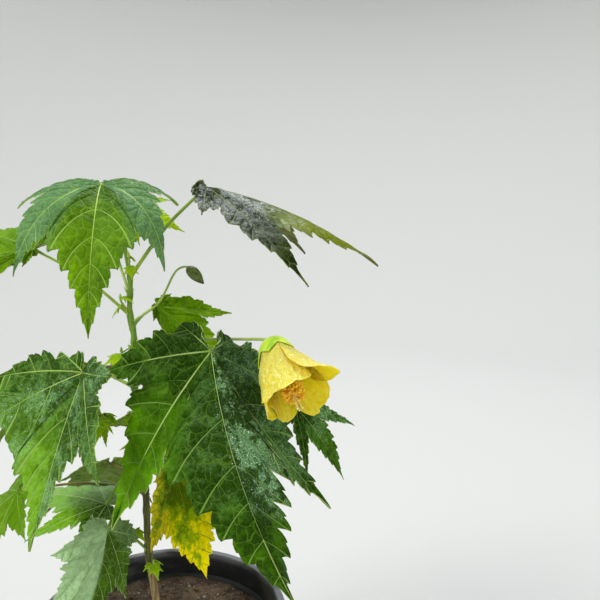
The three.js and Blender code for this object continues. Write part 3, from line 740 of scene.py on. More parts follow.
def hangNormals(leaf, half, across, ahead):
    step = 1e-3
    here = hangPoints(leaf, half, across, ahead)
    aside = (hangPoints(leaf, half, across + step, ahead) - here) * np.where(half > 0.5, 1, -1)[:, None]
    onward = hangPoints(leaf, half, across, ahead + step) - here
    normals = np.cross(aside, onward)
    return here, normals / (np.linalg.norm(normals, axis=1)[:, None] + 1e-12)


flatBlades = {}
lobeBounds = [-130, -108, -78, -60, -36, -22, -1, 1, 22, 36, 60, 78, 108, 130]  # where its own value holds


def byLobe(turn, values):  # a leaf's eight values dealt out by the turn from its midrib
    return np.interp(turn, lobeBounds, [values[0], *(v for v in values[1:7] for _ in (0, 1)), values[7]])


def leafMesh(leaf, paintStart, seed):
    owns = [tuple((key, leaf[key][half]) for key in ("dips", "turns", "narrow", "wide", "bite", "ear")
                  if key in leaf) for half in (0, 1)]
    form = (leaf.get("detail", "middling"), *owns)
    if form not in flatBlades:
        flatBlades[form] = flatBlade(*form)
    mesh = flatBlades[form].copy()
    flat = readPoints(mesh)
    across, ahead = np.abs(flat[:, 0]), flat[:, 1]
    layers = ("half", "quilt", "pleat", "edge", "groove")
    half, quilt, pleat, edge, groove = (readLayer(mesh, name) for name in layers)
    rng = random.Random(seed)
    leaf = {"swirl": rng.uniform(-6, 6), **leaf}
    here, normals = hangNormals(leaf, half, across, ahead)
    turn = np.degrees(np.arctan2(across, ahead)) * np.where(half > 0.5, 1, -1)
    reach = np.hypot(across, ahead)
    form, phase = bladeForm, rng.uniform(0, 6)
    waves = np.sin(np.radians(turn) * 5 + phase) * 0.5 + np.sin(reach * 17 + phase * 2) * 0.7
    relief = form["quilt"] * quilt + form["pleat"] * pleat * leaf.get("pleat", 1)
    relief += form["wave"] * edge * waves * smoothstep(reach, 0.15, 0.5) - form["groove"] * groove
    points = here + normals * (relief * leaf["blade"])[:, None]
    mesh.vertices.foreach_set("co", (points * mm).astype(np.float32).ravel())
    # glow is the lobes' own tone together with painted sunlight, low near the junction and higher towards the
    # tips and margin
    glow = byLobe(turn, leaf.get("glow", plainGlow))
    glow = glow * smoothstep(reach, 0.1, 0.55) * 1.3 + 0.2 * smoothstep(reach, 0.6, 1.0)
    glow += leaf.get("rimGlow", 0.12) * edge
    # gloss is where the blade is wet, which places its drops and its painted sheen, fading out along the
    # blade
    near, far = leaf.get("wetAndSheenReach", (2, 3))
    gloss = byLobe(turn, leaf.get("gloss", plainWetAndSheen)) * (1 - smoothstep(reach, near, far))
    for name, values in (("glow", glow), ("gloss", gloss)):
        mesh.attributes.new(name, "FLOAT", "POINT").data.foreach_set("value", values.astype(np.float32))
    corners = np.zeros(len(mesh.loops), np.int32)
    mesh.loops.foreach_get("vertex_index", corners)
    plan = flat[corners][:, :2] * leaf["blade"] / 10 + np.array([rng.uniform(0, 90), rng.uniform(0, 90)])
    mesh.uv_layers.new(name="plan").data.foreach_set("uv", plan.astype(np.float32).ravel())
    paints = np.zeros(len(mesh.polygons), np.int32)
    mesh.polygons.foreach_get("material_index", paints)
    mesh.polygons.foreach_set("material_index", paints + paintStart)
    for name in layers:
        mesh.attributes.remove(mesh.attributes[name])
    return mesh


def seeded(seed):  # the CAD source's own repeatable numbers between 0 and 1
    state = [seed * 7919]

    def draw():
        state[0] = (state[0] * 16807) % 2147483647
        return state[0] / 2147483647
    draw()
    return draw


spiral = 137.5       # turn from one young leaf to the next
youngStalk = 0.45    # a young leaf's stalk beside its blade


def shootLeaves(start, shoot):  # young leaves leave a shoot's twig in a spiral, the later ones smaller
    draw = seeded(shoot["seed"])
    turn, up = math.radians(shoot["heading"]), math.radians(shoot["rise"])
    way = np.array([math.cos(turn) * math.cos(up), math.sin(turn) * math.cos(up), math.sin(up)])
    leaves = []
    for i in range(shoot["count"]):
        share = lerp(0.4, 1, i / max(shoot["count"] - 1, 1))
        blade = shoot["size"] * lerp(1.1, 0.6, share) * lerp(0.85, 1.15, draw())
        aim = shoot["heading"] + spiral * i + 30 * (draw() - 0.5)
        reach = youngStalk * blade
        foot = start + way * shoot["length"] * share
        east, north = math.cos(math.radians(aim)), math.sin(math.radians(aim))
        aside = np.array([east * reach, north * reach, reach * lerp(0.5, 0.9, draw())])
        hang = lerp(15, 50, draw())
        roll = 30 * (draw() - 0.5)
        level = "middling" if blade > 20 else "plain"
        leaf = {"seat": tuple(foot + aside), "blade": blade, "aim": aim, "hang": hang, "roll": roll,
                "curl": 25, "folds": (12, 12), "tone": "young", "detail": level, "glow": (0.2,) * 8}
        leaves.append((foot, leaf))
    return start + way * shoot["length"], leaves


# Leaves, one piece for each spray

leafThickness = {"share": 0.0034, "least": 0.32}
veinLevels = 8  # steps that the veins' thickness is dealt out in
dewForm = {"least": 0.24, "most": 0.75, "flat": 0.6, "detail": 1, "tint": (206, 222, 200), "clear": 0.75,
           "bends": 1.33}
dew = bmesh.new()


def addDew(mesh, count, seed):  # drops on the wet lobes of one blade's upper face
    rng = random.Random(seed)
    wet = readLayer(mesh, "gloss")
    faces = [face for face in mesh.polygons if wet[face.vertices[0]] > 0.25 and face.area > 2e-7]
    if not faces:
        return
    for face in rng.choices(faces, [face.area for face in faces], k=count):
        size = lerp(dewForm["least"], dewForm["most"], rng.random() ** 2.5)
        centre = face.center / mm + face.normal * size * 0.2
        addLump(dew, centre, (size, size, size * dewForm["flat"]), tuple(face.normal), dewForm["detail"])


def makeLeaves(pieceName, node, leaves, seed):
    paints, starts, meshes = [], {}, []
    for index, leaf in enumerate(leaves):
        if leaf["tone"] not in starts:
            starts[leaf["tone"]] = len(paints)
            paints += paintsOf(leaf["tone"])
        meshes.append(leafMesh(leaf, starts[leaf["tone"]], seed + index))
    bm = bmesh.new()
    for leaf, mesh in zip(leaves, meshes):
        addDew(mesh, leaf.get("dew", 0), seed)
        bm.from_mesh(mesh)
        bpy.data.meshes.remove(mesh)
    largest = max(leaf["blade"] for leaf in leaves)
    lamina = max(leafThickness["share"] * largest, leafThickness["least"]) * mm
    piece = makePiece(pieceName, bm, paints, [node],
                      {"thickness": lamina * 3, "offset": -1, "thickness_vertex_group": 0.33,
                       "material_offset": 3, "material_offset_rim": 1, "use_even_offset": False})
    vein = readLayer(piece.data, "vein")
    piece.data.attributes.remove(piece.data.attributes["vein"])
    group = piece.vertex_groups.new(name="veins")
    steps = np.round(vein * veinLevels).astype(int)
    for step in range(1, veinLevels + 1):
        chosen = np.nonzero(steps == step)[0].tolist()
        if chosen:
            group.add(chosen, step / veinLevels, "REPLACE")
    piece.modifiers["thickness"].vertex_group = "veins"
    return piece


def camel(node):
    first, *rest = node.split("_")
    return first + "".join(word.capitalize() for word in rest)


stalkData = {"radius": 1.25, "ofBlade": 150, "swell": 1.3, "arch": 0.06, "sides": 10, "steps": 22}
twigData = {"radius": 0.9, "stalk": 0.5, "sides": 8}
stalks = bmesh.new()
stipules = bmesh.new()
brownStalks = ("left_middle_spray", "back_low_left_spray", "back_middle_spray")


def addStalk(start, leaf, paint):
    end = np.array(leaf["seat"], float)
    middle = lerp(start, end, 0.5) + np.array([0, 0, stalkData["arch"] * np.linalg.norm(end - start)])
    thick = stalkData["radius"] * math.sqrt(leaf["blade"] / stalkData["ofBlade"])

    def radiusAt(share, turn, centre):
        swollen = 0.35 * math.exp(-((share / 0.05) ** 2)) + 0.3 * math.exp(-(((1 - share) / 0.05) ** 2))
        ribs = 0.04 * math.cos(5 * turn)
        return thick * (lerp(stalkData["swell"], 1, share) * 0.9 + swollen + ribs)

    centres = smoothCurve([start, middle, end], stalkData["steps"])
    addTube(stalks, centres, radiusAt, stalkData["sides"], paint)


def addTwig(start, end, radius):
    centres = smoothCurve([start, lerp(start, end, 0.5), end], 6)
    addTube(stalks, centres, lambda share, turn, centre: radius * lerp(1.2, 0.8, share), twigData["sides"])


def addStipules(knot, heading, seed):  # a pair of small pointed scales beside each stalk's foot
    rng = random.Random(seed)
    start = stemPoint(knot)
    for side in (-1, 1):
        turn = math.radians(heading + side * rng.uniform(35, 60))
        length = rng.uniform(4.5, 7.5)
        foot = start + np.array([math.cos(turn), math.sin(turn), 0]) * 1.6
        tip = foot + np.array([math.cos(turn) * 0.45, math.sin(turn) * 0.45, rng.uniform(0.6, 1.0)]) * length
        addSpindle(stipules, foot, tip, 0.55, 6, 8)


for number, (node, spray) in enumerate(sprays.items()):
    start = stemPoint(spray["knot"])
    leaves = list(spray.get("leaves", []))
    brown = int(node in brownStalks)
    for leaf in leaves:
        addStalk(start, leaf, brown)
    heading = leaves[0]["aim"] if leaves else spray["shoot"]["heading"]
    if leaves:
        way = np.array(leaves[0]["seat"]) - start
        heading = math.degrees(math.atan2(way[1], way[0]))
    addStipules(spray["knot"], heading, number)
    if "shoot" in spray:
        tip, young = shootLeaves(start, spray["shoot"])
        addTwig(start, tip, twigData["radius"])
        for foot, leaf in young:
            addTwig(foot, np.array(leaf["seat"]), twigData["stalk"])
            leaves.append(leaf)
        addSpindle(stipules, tip, tip + np.array([0, 0, 5.0]), 1.1)
    makeLeaves(camel(node) + "Leaves", node, leaves, 100 + 10 * number)
print("leaves: done,", len(sprays), "sprays")

stalkTones = {  # the light and dark of each, and how dull it is where that isn't 0.4
    "stalkLime": ((150, 178, 44), (104, 140, 18)),
    "stalkBrown": ((126, 112, 42), (88, 84, 26)),
    "stipuleGreen": ((178, 206, 70), (128, 168, 44), 0.5),
}
limePaint, brownPaint, scalePaint = (stalkPaint(name, *tone) for name, tone in stalkTones.items())
makePiece("leafStalks", stalks, [limePaint, brownPaint])
makePiece("stipules", stipules, [scalePaint])
dewPaint, dewShader = newPaint("dewDrop")
# The drops' pale tint paints part of their white glint, besides their real reflection
dewShader.inputs["Base Color"].default_value = colour(*dewForm["tint"])
dewShader.inputs["IOR"].default_value = dewForm["bends"]
finish(dewShader, rough=0.04, clear=dewForm["clear"])
makePiece("dewDrops", dew, [dewPaint])


# Main stem with its bark's relief

stemSkin = {"steps": 420, "sides": 28, "ridge": 0.1, "lenticels": 150, "lenticelSize": (0.15, 0.32)}
stemTones = {  # the dark and light of its foot, middle and top, and the heights in metres where they change
    "woody": ((120, 98, 62), (178, 154, 108)),
    "olive": ((62, 66, 22), (110, 110, 44)),
    "lime": ((70, 112, 10), (120, 158, 24)),
    "toOlive": (0.17, 0.2), "toLime": (0.29, 0.335),
}


def stemPaint():
    material, shader = newPaint("stemBark")
    where = place(material)
    height = add(material, "SeparateXYZ", {0: where}).outputs[2]
    streaks = grain(material, place(material, (700, 700, 60)), 1.0, 4.0)
    patches = grain(material, place(material, (160, 160, 60)), 1.0, 3.0)
    drift = reckon(material, "MULTIPLY", reckon(material, "SUBTRACT", patches), 0.05)
    age = reckon(material, "ADD", height, drift)
    lines, soft = ramped(material, streaks, 0.35, 0.65), ramped(material, streaks, 0.3, 0.7)
    woody, olive, lime = (
        mixed(material, share, *(colour(*tint) for tint in stemTones[name]))
        for name, share in (("woody", lines), ("olive", lines), ("lime", soft)))
    base = mixed(material, ramped(material, age, *stemTones["toOlive"]), woody, olive)
    base = mixed(material, ramped(material, age, *stemTones["toLime"]), base, lime)
    join(material, shader, base=base, normal=bump(material, streaks, 0.12 * mm, 0.7),
         rough=ramped(material, height, 0.2, 0.36, 0.7, 0.42))
    finish(shader, sheen=0.2, sheenRough=0.4)
    return material


flower = {
    "knot": 218, "via": [(18, -8, 353), (58, -30, 358)], "seat": (83, -60, 363), "face": (0.33, -0.75, -0.57),
    "length": 46, "throat": 7, "mouth": 21.5, "dome": 7, "stalk": 0.8,
}
bud = {
    "knot": 231, "via": [(4.7, -3, 377), (19, -6, 400)], "seat": (25.5, -7, 402), "face": (0.7, -0.1, -0.7),
    "length": 16, "radius": 3.9, "stalk": 0.6, "rows": 40, "columns": 40,
    "dark": (58, 78, 16), "light": (108, 128, 38), "brownTip": (44, 36, 20),
}
knots = [spray["knot"] for spray in sprays.values()] + [flower["knot"], bud["knot"]]


def stemRadius(share, turn, centre):
    height = centre[2] - stemFoot
    way = height / stem["height"]
    even = stem["evenShare"]
    if way < even:
        taper = lerp(stem["footRadius"], stem["radius"], way / even)
    else:
        taper = lerp(stem["radius"], stem["tipRadius"], ((way - even) / (1 - even)) ** 2)
    swell = min(sum(math.exp(-(((height - knot) / stem["swellHeight"]) ** 2)) for knot in knots), 1)
    age = max(1 - way * 1.6, 0.15)
    around = Vector((math.cos(turn) * 2.2, math.sin(turn) * 2.2, height * 0.05))
    ridges = noise.noise(around * 1.6) * 2 + noise.noise(around * 4 + Vector((7, 0, 0)))
    scars = sum(math.exp(-(((height - knot + 2.5) / 0.7) ** 2)) for knot in knots)
    flare = stem["flareWidth"] * math.exp(-height / stem["flareHeight"]) * (1 + 0.25 * math.cos(3 * turn + 1))
    bark = stemSkin["ridge"] * ridges * age - 0.12 * min(scars, 1)
    return taper + flare + stem["swellWidth"] * swell + bark


def makeStem():
    bm = bmesh.new()
    centres = smoothCurve([(x, y, stemFoot + up) for up, x, y in stemBends], stemSkin["steps"])
    addTube(bm, centres, stemRadius, stemSkin["sides"])
    rng = random.Random(5)
    for _ in range(stemSkin["lenticels"]):
        height = rng.uniform(0, 150) * rng.random() + 4
        turn = rng.uniform(0, 2 * math.pi)
        centre = stemPoint(height)
        radius = stemRadius(0, turn, centre)
        out = np.array([math.cos(turn), math.sin(turn), 0])
        size = rng.uniform(*stemSkin["lenticelSize"])
        addLump(bm, centre + out * (radius - size * 0.4), (size, size, size * 2.2), paint=1)
    pale = stalkPaint("lenticel", (176, 158, 120), (140, 122, 88), 0.8)
    makePiece("mainStemBark", bm, [stemPaint(), pale], ["main_stem"])


makeStem()
print("stem: done")


# Flower and bud

def turnedTo(face):  # a frame whose third axis looks along face, its first as near to +X as it can be
    axis = np.array(face, float)
    axis /= np.linalg.norm(axis)
    first = np.array([1.0, 0.0, 0.0])
    first = first - axis * first.dot(axis)
    first /= np.linalg.norm(first)
    return first, np.cross(axis, first), axis


petalTones = {  # the crepe's light, its deeper fibres, the petals' foot, and how much the creases show, in relief and as a painted highlight on their ridges
    "petalOutside": {"light": (252, 226, 30), "deep": (242, 198, 0), "foot": (226, 214, 40), "sheen": 0.05,
                     "creases": 0.55},
    "petalInside": {"light": (255, 226, 14), "deep": (255, 206, 0), "foot": (255, 160, 0), "sheen": 0.0,
                    "creases": 0.15},
}
# the pale colour of the painted highlight along the crinkles' ridges
creaseHighlight = (255, 248, 150)


def petalPaint(name, light, deep, foot, sheen, creases):
    material, shader = newPaint(name)
    shade = add(material, "Attribute", attribute_name="way").outputs["Fac"]
    plan = add(material, "UVMap", uv_map="plan").outputs[0]
    ribs = add(material, "Mapping", {"Vector": plan, "Scale": (26, 2.2, 1)}).outputs[0]
    fibres = grain(material, ribs, 2.0, 4.0, 0.6)
    drift = add(material, "TexNoise", {"Vector": plan, "Scale": 9.0, "Detail": 2.0}).outputs["Color"]
    bent = add(material, "VectorMath", {0: drift, "Scale": 0.12}, operation="SCALE").outputs[0]
    bent = add(material, "VectorMath", {0: plan, 1: bent}, operation="ADD").outputs[0]
    bent = add(material, "Mapping", {"Vector": bent, "Scale": (19, 30, 1)}).outputs[0]
    folds = add(material, "TexVoronoi", {"Vector": bent, "Scale": 1.0}, feature="DISTANCE_TO_EDGE").outputs[0]
    ridge = ramped(material, folds, 0.0, 0.22, 1.0, 0.0)
    base = mixed(material, ramped(material, fibres, 0.35, 0.65), colour(*deep), colour(*light))
    # Painted highlight: the crinkles' ridges are paled as if lit
    base = mixed(material, reckon(material, "MULTIPLY", ridge, creases), base, colour(*creaseHighlight))
    base = mixed(material, ramped(material, shade, 0.0, 0.4, 0.7, 0.0), base, colour(*foot))
    height = reckon(material, "ADD", reckon(material, "MULTIPLY", fibres, 0.4), ridge)
    join(material, shader, base=base, normal=bump(material, height, 0.3 * mm, 0.4 + creases))
    finish(shader, rough=0.4, sheen=sheen, sheenRough=0.3, coat=0.1, coatRough=0.2, within=0.6,
           depth=0.005, reach=(1, 0.7, 0.1))
    return material


def bellRadius(share):
    near = min(max(share, 0) * flower["length"] / flower["dome"], 1)
    return lerp(flower["throat"], flower["mouth"], share) * math.sqrt(1 - (1 - near) ** 2)


petals = [  # each one's middle, length and flare, and how far its halves are drawn to a point and tucked in
    {"turn": 31, "half": 56, "length": 1.0, "flare": 7, "point": (0.14, 0.0),
     "corner": 0.13, "tuck": (0, 0)},
    {"turn": 116, "half": 68, "length": 1.02, "flare": -2, "point": (0, 0.02),
     "corner": 0.08, "tuck": (0, 4.5)},
    {"turn": 200, "half": 52, "length": 0.95, "flare": -3, "point": (0.16, 0),
     "corner": 0.03, "tuck": (3.5, 0)},
    {"turn": 256, "half": 44, "length": 0.96, "flare": -1, "point": (0.06, 0.1),
     "corner": 0.12, "tuck": (0, 0)},
    {"turn": 316, "half": 50, "length": 0.98, "flare": 2, "point": (0.02, 0.02),
     "corner": 0.14, "tuck": (0, 0)},
]
petalForm = {
    "rows": 76, "columns": 54, "thick": 0.4,
    "lap": 1.4,                   # how far a petal's one edge stands outside and its other inside
    "pleats": 26, "pleat": 0.25,  # long folds, how close and how deep
    "crumple": 1.3, "fine": 0.32, "ruffle": 1.1,  # height of the broad and fine crumples and of the hem's
}


def makePetals():
    first, second, axis = turnedTo(flower["face"])
    seat = np.array(flower["seat"], float)
    bm = bmesh.new()
    wayLayer = bm.verts.layers.float.new("way")
    planLayer = bm.loops.layers.uv.new("plan")
    for seed, petal in enumerate(petals, 1):
        rng = random.Random(seed)
        shift = Vector((rng.uniform(0, 50), rng.uniform(0, 50), 0))

        def carry(u, v, petal=petal, shift=shift, seed=seed):
            x = 2 * v - 1  # from the petal's one edge to its other
            side = int(x > 0)
            corner = petal["corner"] * abs(x) ** 2.6 + petal["point"][side] * abs(x)
            rounding = 1 - corner + 0.012 * math.sin(9 * x + seed)
            share = u * petal["length"] * rounding
            widening = (0.8 + 0.2 * math.sin(math.pi * min(u, 0.8) / 1.6)) * (1 - 0.15 * u ** 6)
            turn = math.radians(petal["turn"] + x * petal["half"] * widening)
            lap = petalForm["lap"] * x * float(smoothstep(u, 0.25, 0.6))
            radius = bellRadius(min(share, 1.1)) - 0.7 + lap
            radius += petal["flare"] * share ** 2.5 * (1 - 0.85 * x * x)
            radius += petalForm["pleat"] * share * math.sin(x * petalForm["pleats"]) * (1 - abs(x) ** 3)
            radius -= petal["tuck"][side] * share ** 3 * abs(x) ** 1.5
            crumple = noise.noise(Vector((x * 3, u * 4, 0)) + shift) + 0.6 * noise.noise(
                Vector((x * 7, u * 9, 3)) + shift)
            fine = noise.noise(Vector((x * 19, u * 26, 6)) + shift) * min(3 * u, 1) * (1 - abs(x) ** 6)
            radius += crumple * (0.1 + petalForm["crumple"] * u ** 2) + petalForm["fine"] * fine
            ruffle = math.sin(5 * x + seed * 2) * petalForm["ruffle"] * u ** 5
            lift = flower["length"] * share - 0.3 * max(petal["flare"], 0) * share ** 2.5 + ruffle * 0.5
            out = first * math.cos(turn) + second * math.sin(turn)
            return Vector((seat + out * (radius + ruffle) + axis * lift) * mm)

        made, faces = addGrid(bm, petalForm["rows"], petalForm["columns"])
        for face in faces:
            for loop in face.loops:
                u, v = loop.vert.co.x + 0.5, loop.vert.co.y + 0.5
                loop[planLayer].uv = (v, u + seed * 1.1)
        for vert in made:
            u, v = vert.co.x + 0.5, vert.co.y + 0.5
            vert[wayLayer] = u
            vert.co = carry(u, v)
        centre = seat * mm
        for face in faces:
            middle = np.array(face.calc_center_median()) - centre
            out = middle - axis * middle.dot(axis)
            face.normal_update()
            if np.array(face.normal).dot(out) < 0:
                face.normal_flip()
    paints = [petalPaint(name, **tone) for name, tone in petalTones.items()]
    thick = {"thickness": petalForm["thick"] * mm, "offset": -1, "material_offset": 1,
             "material_offset_rim": 0}
    makePiece("bellPetals", bm, paints, ["bell_flower"], thick)


calyx = {"short": 10.5, "lobe": 6, "lobes": 5, "first": 0.35, "thick": 0.5, "rows": 40, "columns": 100,
         "dark": (142, 192, 0), "light": (206, 232, 44)}


def makeCalyx():
    first, second, axis = turnedTo(flower["face"])
    seat = np.array(flower["seat"], float)
    bm = bmesh.new()

    def carry(u, v):
        turn = 2 * math.pi * v
        lobe = abs(((v * calyx["lobes"] + calyx["first"]) % 1) * 2 - 1)  # 1 at a lobe's tip, 0 between two
        long = calyx["short"] + calyx["lobe"] * lobe ** 1.2
        far = u * long
        radius = bellRadius(far / flower["length"]) - 0.3 + 0.1 * u
        radius += 0.25 * math.cos(calyx["lobes"] * turn + 2.2) * u
        radius += 0.12 * noise.noise(Vector((v * 12, u * 5, 0)))
        radius = radius * min(u * 20, 1)
        out = first * math.cos(turn) + second * math.sin(turn)
        return Vector((seat + out * radius + axis * (far - 0.6)) * mm)

    made, faces = addSheet(bm, calyx["rows"], calyx["columns"], carry)
    closeUp(bm, made, faces, 1e-6)
    centre = Vector((seat + axis * 6) * mm)
    sample = max((face for face in faces if face.is_valid), key=lambda face: face.calc_area())
    if sample.normal.dot(sample.calc_center_median() - centre) < 0:
        bmesh.ops.reverse_faces(bm, faces=[face for face in faces if face.is_valid])
    material, shader = newPaint("calyxLime")
    patch = ramped(material, grain(material, place(material), 160.0, 3.0), 0.3, 0.7)
    fuzz = grain(material, place(material), 1500.0, 2.0)
    join(material, shader, base=mixed(material, patch, colour(*calyx["dark"]), colour(*calyx["light"])),
         normal=bump(material, fuzz, 0.08 * mm, 0.5))
    finish(shader, rough=0.42, sheen=0.4, sheenRough=0.35, coat=0.15, coatRough=0.25)
    thick = {"thickness": calyx["thick"] * mm, "offset": 1}
    makePiece("bellCalyx", bm, [material], [], thick)


stamens = {"columnLength": 40, "columnRadius": 1.5, "count": 300, "from": 0.62, "over": 0.42, "spread": 6.4,
           "filament": 0.16, "anther": 0.72, "styles": 3, "style": 0.2, "styleLength": 13}
stamenTones = {  # the light and dark of each, and how dull it is
    "stamenColumn": ((255, 206, 20), (252, 176, 0), 0.5),
    "antherGold": ((255, 214, 20), (255, 188, 0), 0.7),
    "stylePale": ((255, 250, 190), (240, 236, 130), 0.4),
}


def makeStamens():
    first, second, axis = turnedTo(flower["face"])
    seat = np.array(flower["seat"], float)
    bm = bmesh.new()
    rng = random.Random(21)
    length = stamens["columnLength"]
    centres = smoothCurve([seat, seat + axis * length / 2, seat + axis * length], 16)
    addTube(bm, centres, lambda share, turn, centre: stamens["columnRadius"] * lerp(1.3, 0.9, share), 10)
    for k in range(stamens["count"]):
        up = length * (stamens["from"] + stamens["over"] * rng.random() ** 0.8)
        turn = spiral * k
        out = first * math.cos(math.radians(turn)) + second * math.sin(math.radians(turn))
        far = stamens["spread"] * rng.uniform(0.55, 1.0) * (1.15 - 0.4 * (up / length - stamens["from"]))
        tip = seat + axis * (up + rng.uniform(1, 3)) + out * far
        addTube(bm, smoothCurve([seat + axis * up, tip], 3), lambda *where: stamens["filament"], 5)
        size = stamens["anther"] * rng.uniform(0.8, 1.2)
        addLump(bm, tip, (size, size * 1.4, size), tuple(out), paint=1)
    for k in range(stamens["styles"]):
        turn = math.radians(360 * k / stamens["styles"] + 20)
        out = first * math.cos(turn) + second * math.sin(turn)
        start = seat + axis * length * 0.95
        tip = start + axis * stamens["styleLength"] + out * rng.uniform(0.8, 2.4)
        middle = start + axis * 6 + out * 0.8
        addTube(bm, smoothCurve([start, middle, tip], 6), lambda *where: stamens["style"], 6, 2)
        addLump(bm, tip, (0.5, 0.5, 0.45), tuple(axis), 2, 2)
    paints = [stalkPaint(name, *tone) for name, tone in stamenTones.items()]
    makePiece("bellStamens", bm, paints)


def flowerStalk(bm, plant):
    face = np.array(plant["face"], float) / np.linalg.norm(plant["face"])
    points = [stemPoint(plant["knot"]), *plant["via"], plant["seat"], np.array(plant["seat"]) + face * 1.5]
    thin = plant["stalk"]
    addTube(bm, smoothCurve(points, 46), lambda share, turn, centre: thin * lerp(1.4, 1, share), 10, 1)


def makeBud():
    first, second, axis = turnedTo(bud["face"])
    seat = np.array(bud["seat"], float)
    bm = bmesh.new()

    def carry(u, v):
        turn = 2 * math.pi * v
        fivefold = 1 + 0.07 * math.cos(5 * turn) * math.sin(math.pi * u)
        radius = bud["radius"] * math.sin(math.pi * min(u, 1) ** 0.72) ** 0.75 * fivefold
        radius += 0.12 * noise.noise(Vector((math.cos(turn) * 3, math.sin(turn) * 3, u * 4)))
        if u in (0, 1):
            radius = 0
        out = first * math.cos(turn) + second * math.sin(turn)
        return Vector((seat + out * max(radius, 0) + axis * bud["length"] * u) * mm)

    made, faces = addSheet(bm, bud["rows"], bud["columns"], carry)
    closeUp(bm, made, faces, 1e-6)
    flowerStalk(bm, bud)
    flowerStalk(bm, flower)
    material, shader = newPaint("budOlive")
    where = place(material)
    height = add(material, "SeparateXYZ", {0: where}).outputs[2]
    patch = ramped(material, grain(material, where, 400.0, 3.0), 0.3, 0.7)
    base = mixed(material, patch, colour(*bud["dark"]), colour(*bud["light"]))
    base = mixed(material, ramped(material, height, 0.390, 0.397, 0.75, 0.0), base, colour(*bud["brownTip"]))
    join(material, shader, base=base, normal=bump(material, grain(material, where, 1600.0), 0.06 * mm, 0.5))
    finish(shader, rough=0.5, sheen=0.35, sheenRough=0.4)
    pedicel = stalkPaint("pedicelLime", (176, 198, 92), (142, 172, 62), 0.45)
    makePiece("hangingBud", bm, [material, pedicel], ["flower_bud"])


makePetals()
makeCalyx()
makeStamens()
makeBud()
print("flower and bud: done")


# Pot and soil

pot = {"rimRadius": 90, "footRadius": 64, "height": 150, "wall": 2, "lip": 3.5, "band": 22, "step": 3,
       "foot": 8, "ribs": 5, "rib": 0.25, "turns": 144}
drain = {"count": 6, "radius": 5, "circle": 44, "depth": 12}
potTones = {"dark": (24, 26, 28), "scuffed": (40, 43, 46), "dust": (104, 98, 90), "wornRim": (112, 114, 118)}


def potInside(height):
    ledge = pot["height"] - pot["band"]
    return lerp(pot["footRadius"], pot["rimRadius"] - pot["lip"] - pot["step"], height / ledge) - pot["wall"]


def potPaint():
    material, shader = newPaint("potPlastic")
    where = place(material)
    dust = grain(material, place(material, (30, 30, 60)), 1.0, 5.0, 0.6)
    scuffs = grain(material, place(material, (60, 60, 900)), 1.0, 4.0)
    height = add(material, "SeparateXYZ", {0: where}).outputs[2]
    dark, scuffed, dustTint, wornRim = (
        colour(*potTones[key]) for key in ("dark", "scuffed", "dust", "wornRim"))
    black = mixed(material, ramped(material, scuffs, 0.4, 0.7), dark, scuffed)
    dusty = mixed(material, ramped(material, dust, 0.5, 0.72, 0.0, 0.5), black, dustTint)
    worn = ramped(material, dust, 0.3, 0.6)
    rim = reckon(material, "MULTIPLY", ramped(material, height, 0.143, 0.149), worn)
    join(material, shader, base=mixed(material, rim, dusty, wornRim),
         rough=ramped(material, dust, 0.3, 0.7, 0.38, 0.62),
         normal=bump(material, grain(material, where, 900.0, 2.0), 0.05 * mm, 0.6))
    finish(shader, specular=0.5)
    return material


def makePot():
    tall, wall, lip, step = (pot[key] for key in ("height", "wall", "lip", "step"))
    rim, foot = pot["rimRadius"], pot["footRadius"]
    side, ledge = rim - lip, tall - pot["band"]
    ring = foot - pot["foot"]
    outline = [(0, 0.8), (ring - 1, 0.8), (ring, 0), (foot - 0.8, 0), (foot + 0.2, 0.9)]
    for k in range(1, pot["ribs"]):  # faint mould steps up the side
        height = ledge * k / pot["ribs"]
        radius = potInside(height) + wall
        outline += [(radius, height), (radius + pot["rib"], height + 0.5)]
    outline += [
        (side - step, ledge - 0.8), (side - step + 0.6, ledge), (side - 0.7, ledge), (side, ledge + 0.7),
        (side, tall - lip - 0.6), (side + 0.5, tall - lip), (rim - 1, tall - lip), (rim, tall - lip + 1),
        (rim, tall - 1), (rim - 1, tall), (side - wall + 0.6, tall), (side - wall, tall - 0.6),
        (side - wall, ledge + wall), (potInside(ledge), ledge), (potInside(wall), wall), (0, wall),
    ]
    bm = bmesh.new()
    spinRound(bm, [(radius * mm, height * mm) for radius, height in outline], pot["turns"])
    piece = makePiece("nurseryPot", bm, [potPaint()], ["nursery_pot"])
    holes = bmesh.new()
    for k in range(drain["count"]):
        turn, radius = 2 * math.pi * k / drain["count"], drain["radius"] * mm
        centre = Vector((math.cos(turn), math.sin(turn), 0)) * drain["circle"] * mm
        bmesh.ops.create_cone(holes, cap_ends=True, segments=32, radius1=radius, radius2=radius,
                              depth=drain["depth"] * mm, matrix=Matrix.Translation(centre))
    cutterMesh = bpy.data.meshes.new("holes")
    holes.to_mesh(cutterMesh)
    holes.free()
    cutter = bpy.data.objects.new("holes", cutterMesh)
    bpy.context.scene.collection.objects.link(cutter)
    cut = piece.modifiers.new("holes", "BOOLEAN")
    cut.operation, cut.solver, cut.object = "DIFFERENCE", "EXACT", cutter
    whole = piece.evaluated_get(bpy.context.evaluated_depsgraph_get())
    drilled = bpy.data.meshes.new_from_object(whole)
    piece.modifiers.clear()
    piece.data = drilled
    drilled.set_sharp_from_angle(angle=math.radians(40))
    bpy.data.objects.remove(cutter)


